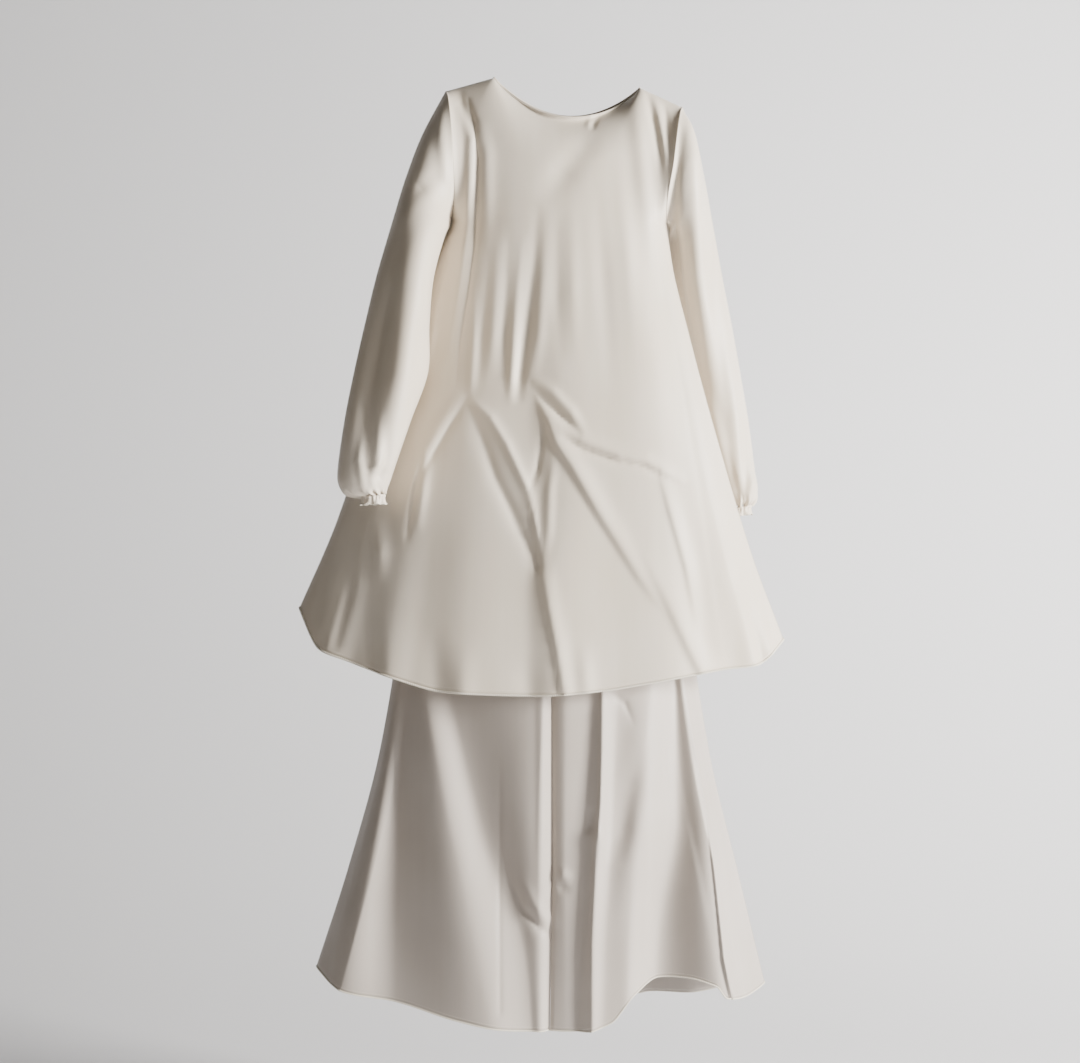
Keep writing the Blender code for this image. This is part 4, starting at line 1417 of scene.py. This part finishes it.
@dataclass
class Tunic:
    """The tunic: its two body panels, the rolled neck edge and the overlocked hem."""

    finishes: Finishes
    neck: Neck = field(default_factory=Neck)
    width: float = 0.80
    length: float = 0.93
    area: float = 0.47
    hem_radius: float = 0.0016
    hem_pitch: float = 0.0030
    hem_bite: float = 0.28
    stitch: Stitch = Stitch(0.0034, 0.0022, 0.00032)
    stitch_above_hem: float = 0.0045
    neck_radius: float = 0.0012
    neck_lift: float = 0.0004
    neck_inset: float = 0.0003

    def __post_init__(self) -> None:
        """Puts the body's form together."""
        self.tube = HangingTube(
            TUNIC_LEVELS,
            TUNIC_HEM,
            {Side.FRONT: TUNIC_FRONT_FLUTES, Side.BACK: TUNIC_BACK_FLUTES},
            {Side.FRONT: TUNIC_FRONT_CREASES, Side.BACK: TUNIC_BACK_CREASES},
            self.neck,
        )

    def panel(self, side: Side) -> bpy.types.Object:
        """Builds and dresses the front or back panel, with its hem thread and stitches.

        Args:
            side: Which panel.

        Returns:
            The panel.
        """
        word = side.name.lower()
        surface = PanelSurface(self.tube, side, top_closeness=0.35)
        columns, rows = (212, 224) if side is Side.FRONT else (150, 170)
        panel = drape(f"cloth_tunic_{word}", surface, Weave(columns, rows, self.width, self.length))
        panel.data.materials.append(self.finishes.tunic_cloth)
        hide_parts(f"tunic_{word}")
        edge = as_trim(
            drape(
                f"overlock_tunic_{word}",
                EdgeRollSurface(
                    self.hem_line(surface, 1.0, -0.0003), self.hem_radius, self.hem_pitch, self.hem_bite
                ),
                Weave(1500, 7, 0.9, 0.006, thickness=0.0, closed=True),
            ),
            self.finishes.thread,
        )
        stitch_line = self.hem_line(surface, 1.0 - self.stitch_above_hem / self.length, 0.0001)
        stitches = as_trim(
            stitch_row(f"stitches_tunic_{word}", stitch_line, self.stitch), self.finishes.thread
        )
        return panel

    def hem_line(self, surface: PanelSurface, down: float, out: float) -> np.ndarray:
        """Points along the panel at a share down, moved out from the cloth."""
        u = np.linspace(0.0, 1.0, 500)
        line = surface.at(u, np.full(u.shape, down))
        line[:, 1] += surface.side.value * out
        return line

    def neck_edge(self) -> bpy.types.Object:
        """Builds and dresses the rolled edge round the neck."""
        eased = (1 - np.cos(np.linspace(0.0, math.pi, 160))) / 2
        across = self.neck.right + (self.neck.left - self.neck.right) * eased
        zero = np.zeros(across.shape)
        front = self.tube.place(across, zero, Side.FRONT)
        back = self.tube.place(across[::-1], zero, Side.BACK)
        line = np.concatenate([front, back[1:-1], front[:1]])
        line[:, 2] += self.neck_lift
        line[:, 1] -= np.sign(line[:, 1]) * self.neck_inset
        edge = as_trim(
            drape(
                "roll_neck",
                EdgeRollSurface(line, self.neck_radius, closed=True),
                Weave(420, 10, 0.55, 0.006, thickness=0.0, closed=True),
            ),
            self.finishes.tunic_cloth,
        )
        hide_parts("neck_binding")
        return edge

    def build(self) -> list[bpy.types.Object]:
        """Builds every piece of the tunic's body."""
        return [self.panel(Side.FRONT), self.panel(Side.BACK), self.neck_edge()]


@dataclass
class Sleeve:
    """A bishop sleeve, gathered into a narrow cuff with a frill."""

    tube: HangingTube
    finishes: Finishes
    hand: Hand
    rings: tuple[Ring, ...]
    front_creases: tuple[Crease, ...]
    back_creases: tuple[Crease, ...]
    width: float = 0.34
    length: float = 0.60
    area: float = 0.155

    def build(self) -> list[bpy.types.Object]:
        """Builds the sleeve, its cuff and the cuff's edge.

        Returns:
            The pieces.
        """
        word = self.hand.name.lower()
        surface = SleeveSurface(self.tube, self.hand, self.rings, self.front_creases, self.back_creases)
        sleeve = drape(
            f"cloth_sleeve_{word}", surface, Weave(176, 210, self.width, self.length, closed=True)
        )
        sleeve.data.materials.append(self.finishes.tunic_cloth)
        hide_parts(f"sleeve_{word}")
        return [sleeve, *self.cuff(word)]

    def cuff(self, word: str) -> list[bpy.types.Object]:
        """Builds the cuff.

        Args:
            word: The hand, for its names.

        Returns:
            The cuff and its overlocked edge.
        """
        surface = CuffSurface(self.hand, self.rings[-1])
        cuff = as_trim(
            drape(f"cloth_cuff_{word}", surface, Weave(180, 20, 0.11, 0.018, closed=True)),
            self.finishes.tunic_cloth,
        )
        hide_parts(f"cuff_{word}")
        u = np.linspace(0.0, 1.0, 240)
        edge = as_trim(
            drape(
                f"overlock_cuff_{word}",
                EdgeRollSurface(surface.at(u, np.ones(u.shape)), 0.0008, 0.0026, 0.2, closed=True),
                Weave(360, 7, 0.14, 0.005, thickness=0.0, closed=True),
            ),
            self.finishes.thread,
        )
        return [cuff, edge]


@dataclass
class Skirt:
    """The long flared skirt: four panels on an elastic waistband."""

    finishes: Finishes
    centre_front: float = 0.52
    centre_back: float = 0.5
    seam: float = 0.0004
    width: float = 0.42
    length: float = 0.98
    area: float = 0.262
    stitch: Stitch = Stitch(0.0036, 0.0023, 0.0003)
    stitch_above_hem: float = 0.0050

    def __post_init__(self) -> None:
        """Puts the skirt's form together."""
        self.tube = HangingTube(
            SKIRT_LEVELS,
            SKIRT_HEM,
            {Side.FRONT: SKIRT_FRONT_FLUTES, Side.BACK: SKIRT_BACK_FLUTES},
            {Side.FRONT: SKIRT_FRONT_CREASES, Side.BACK: SKIRT_BACK_CREASES},
        )

    def panel(self, side: Side, hand: Hand) -> bpy.types.Object:
        """Builds and dresses a quarter of the skirt, with its hem thread and stitches.

        Args:
            side: Front or back.
            hand: Right or left.

        Returns:
            The panel.
        """
        word = f"{side.name.lower()}_{hand.name.lower()}"
        middle = self.centre_front if side is Side.FRONT else self.centre_back
        start, end = (0.0, middle - self.seam) if hand is Hand.RIGHT else (middle + self.seam, 1.0)
        surface = PanelSurface(self.tube, side, start, end, closeness=0.45)
        columns = 150 if side is Side.FRONT else 100
        panel = drape(f"cloth_skirt_{word}", surface, Weave(columns, 210, self.width, self.length))
        panel.data.materials.append(self.finishes.skirt_cloth)
        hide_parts(f"skirt_{word}")
        u = np.linspace(0.0, 1.0, 300)
        edge = as_trim(
            drape(
                f"overlock_skirt_{word}",
                EdgeRollSurface(surface.at(u, np.ones(u.shape)), 0.0011, 0.0030, 0.22),
                Weave(760, 7, 0.42, 0.006, thickness=0.0, closed=True),
            ),
            self.finishes.thread,
        )
        line = surface.at(u, np.full(u.shape, 1 - self.stitch_above_hem / self.length))
        line[:, 1] += side.value * 0.0001
        row = as_trim(stitch_row(f"stitches_skirt_{word}", line, self.stitch), self.finishes.thread)
        return panel

    def waistband(self) -> bpy.types.Object:
        """Builds and dresses the elastic waistband."""
        band = drape(
            "cloth_waistband", BandSurface(self.tube), Weave(368, 12, 0.66, 0.04, closed=True)
        )
        band.data.materials.append(self.finishes.skirt_cloth)
        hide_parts("waistband")
        return band

    def build(self) -> list[bpy.types.Object]:
        """Builds every piece of the skirt."""
        panels = [self.panel(side, hand) for side in Side for hand in Hand]
        return [*panels, self.waistband()]


# ---- The studio ----


class Softbox(NamedTuple):
    """One soft light and where it points."""

    name: str
    place: tuple[float, float, float]
    target: tuple[float, float, float]
    width: float
    height: float
    power: float
    colour: tuple[float, float, float]


@dataclass
class Studio:
    """The camera, the lights and a plain pale sweep."""

    centre: Vector = field(default_factory=lambda: Vector((-0.039, 0.0, -0.674)))
    distance: float = 3.0
    seen_width: float = 1.62
    sensor: float = 36.0
    floor: float = -1.62
    floor_front: float = 5.0
    back: float = 1.7
    half_width: float = 4.0
    sweep_length: float = 12.0
    curve: float = 0.9
    paper: tuple[float, ...] = (0.78, 0.78, 0.80, 1.0)
    paper_roughness: float = 0.9
    surround: tuple[float, ...] = (1.0, 0.89, 0.76, 1.0)
    surround_strength: float = 0.065
    seen_strength: float = 0.635  # what the camera sees of the surround beyond that
    softboxes: tuple[Softbox, ...] = (
        Softbox("key", (3.05, -1.4, -0.15), (0.0, 0.0, -0.7), 0.9, 1.5, 470.0, (1.0, 0.98, 0.94)),
        Softbox("front", (0.8, -3.6, 0.6), (0.0, 0.0, -0.6), 1.6, 1.6, 8.0, (1.0, 0.99, 0.97)),
    )

    def camera(self) -> None:
        """Places the camera level with the middle of the set and square to its front."""
        data = bpy.data.cameras.new("camera")
        data.sensor_fit = "HORIZONTAL"
        data.sensor_width = self.sensor
        data.lens = self.sensor * self.distance / self.seen_width
        camera = place_object("camera", data)
        camera.location = self.centre - Vector((0.0, self.distance, 0.0))
        camera.rotation_euler = (math.radians(90.0), 0.0, 0.0)
        bpy.context.scene.camera = camera

    def lights(self) -> None:
        """Hangs the softboxes and sets an even surround, which is seen paler than it shines."""
        for box in self.softboxes:
            data = bpy.data.lights.new(box.name, "AREA")
            data.shape = "RECTANGLE"
            data.size, data.size_y = box.width, box.height
            data.energy = box.power
            data.color = box.colour
            light = place_object(box.name, data)
            light.location = box.place
            aim = Vector(box.target) - Vector(box.place)
            light.rotation_euler = aim.to_track_quat("-Z", "Y").to_euler()
        world = bpy.data.worlds.new("surround")
        world.use_nodes = True
        tree = world.node_tree
        seen = add_node(tree, "ShaderNodeLightPath")["Is Camera Ray"]
        colour = add_node(
            tree, "ShaderNodeMix", {"Factor": seen, 6: self.surround, 7: self.paper}, data_type="RGBA"
        )[2]
        strength = maths(tree, "MULTIPLY_ADD", seen, self.seen_strength, self.surround_strength)
        feed(tree, tree.nodes["Background"], {"Color": colour, "Strength": strength})
        bpy.context.scene.world = world

    def sweep(self) -> None:
        """Makes the floor, which curves up into the backdrop. Its back can be seen through."""
        paper = bmesh.new()
        bmesh.ops.create_grid(paper, x_segments=2, y_segments=40, size=0.5)
        flat = self.back - self.curve + self.floor_front
        quarter = self.curve * math.pi / 2
        for vertex in paper.verts:
            along = (vertex.co.y + 0.5) * self.sweep_length
            turn = min(max(along - flat, 0.0), quarter) / self.curve
            y = min(along, flat) - self.floor_front + self.curve * math.sin(turn)
            z = self.floor + self.curve * (1 - math.cos(turn)) + max(along - flat - quarter, 0.0)
            vertex.co = (2 * vertex.co.x * self.half_width, y, z)
        sweep = place_object("sweep", smooth_mesh("sweep", paper))
        material, tree, shader = start_material("pale_paper")
        feed(tree, shader, {"Base Color": self.paper, "Roughness": self.paper_roughness})
        faces = {
            0: add_node(tree, "ShaderNodeNewGeometry")["Backfacing"],
            1: shader.outputs[0],
            2: add_node(tree, "ShaderNodeBsdfTransparent")[0],
        }
        mixed = add_node(tree, "ShaderNodeMixShader", faces)[0]
        feed(tree, tree.nodes["Material Output"], {"Surface": mixed})
        sweep.data.materials.append(material)

    def build(self) -> None:
        """Sets up the whole studio."""
        self.camera()
        self.lights()
        self.sweep()


def main() -> None:
    """Builds the whole set in order and reports each piece."""
    logging.basicConfig(level=logging.INFO, format="%(name)s: %(message)s")
    Studio().build()
    finishes = Finishes()
    tunic = Tunic(finishes)
    skirt = Skirt(finishes)
    right = Sleeve(tunic.tube, finishes, Hand.RIGHT, RIGHT_RINGS, RIGHT_SLEEVE_FRONT, RIGHT_SLEEVE_BACK)
    left = Sleeve(tunic.tube, finishes, Hand.LEFT, LEFT_RINGS, LEFT_SLEEVE_FRONT, LEFT_SLEEVE_BACK)
    for assembly in (tunic, right, left, skirt):
        for piece in assembly.build():
            log.info("%s: %d vertices", piece.name, len(piece.data.vertices))


if __name__ == "__main__":
    main()
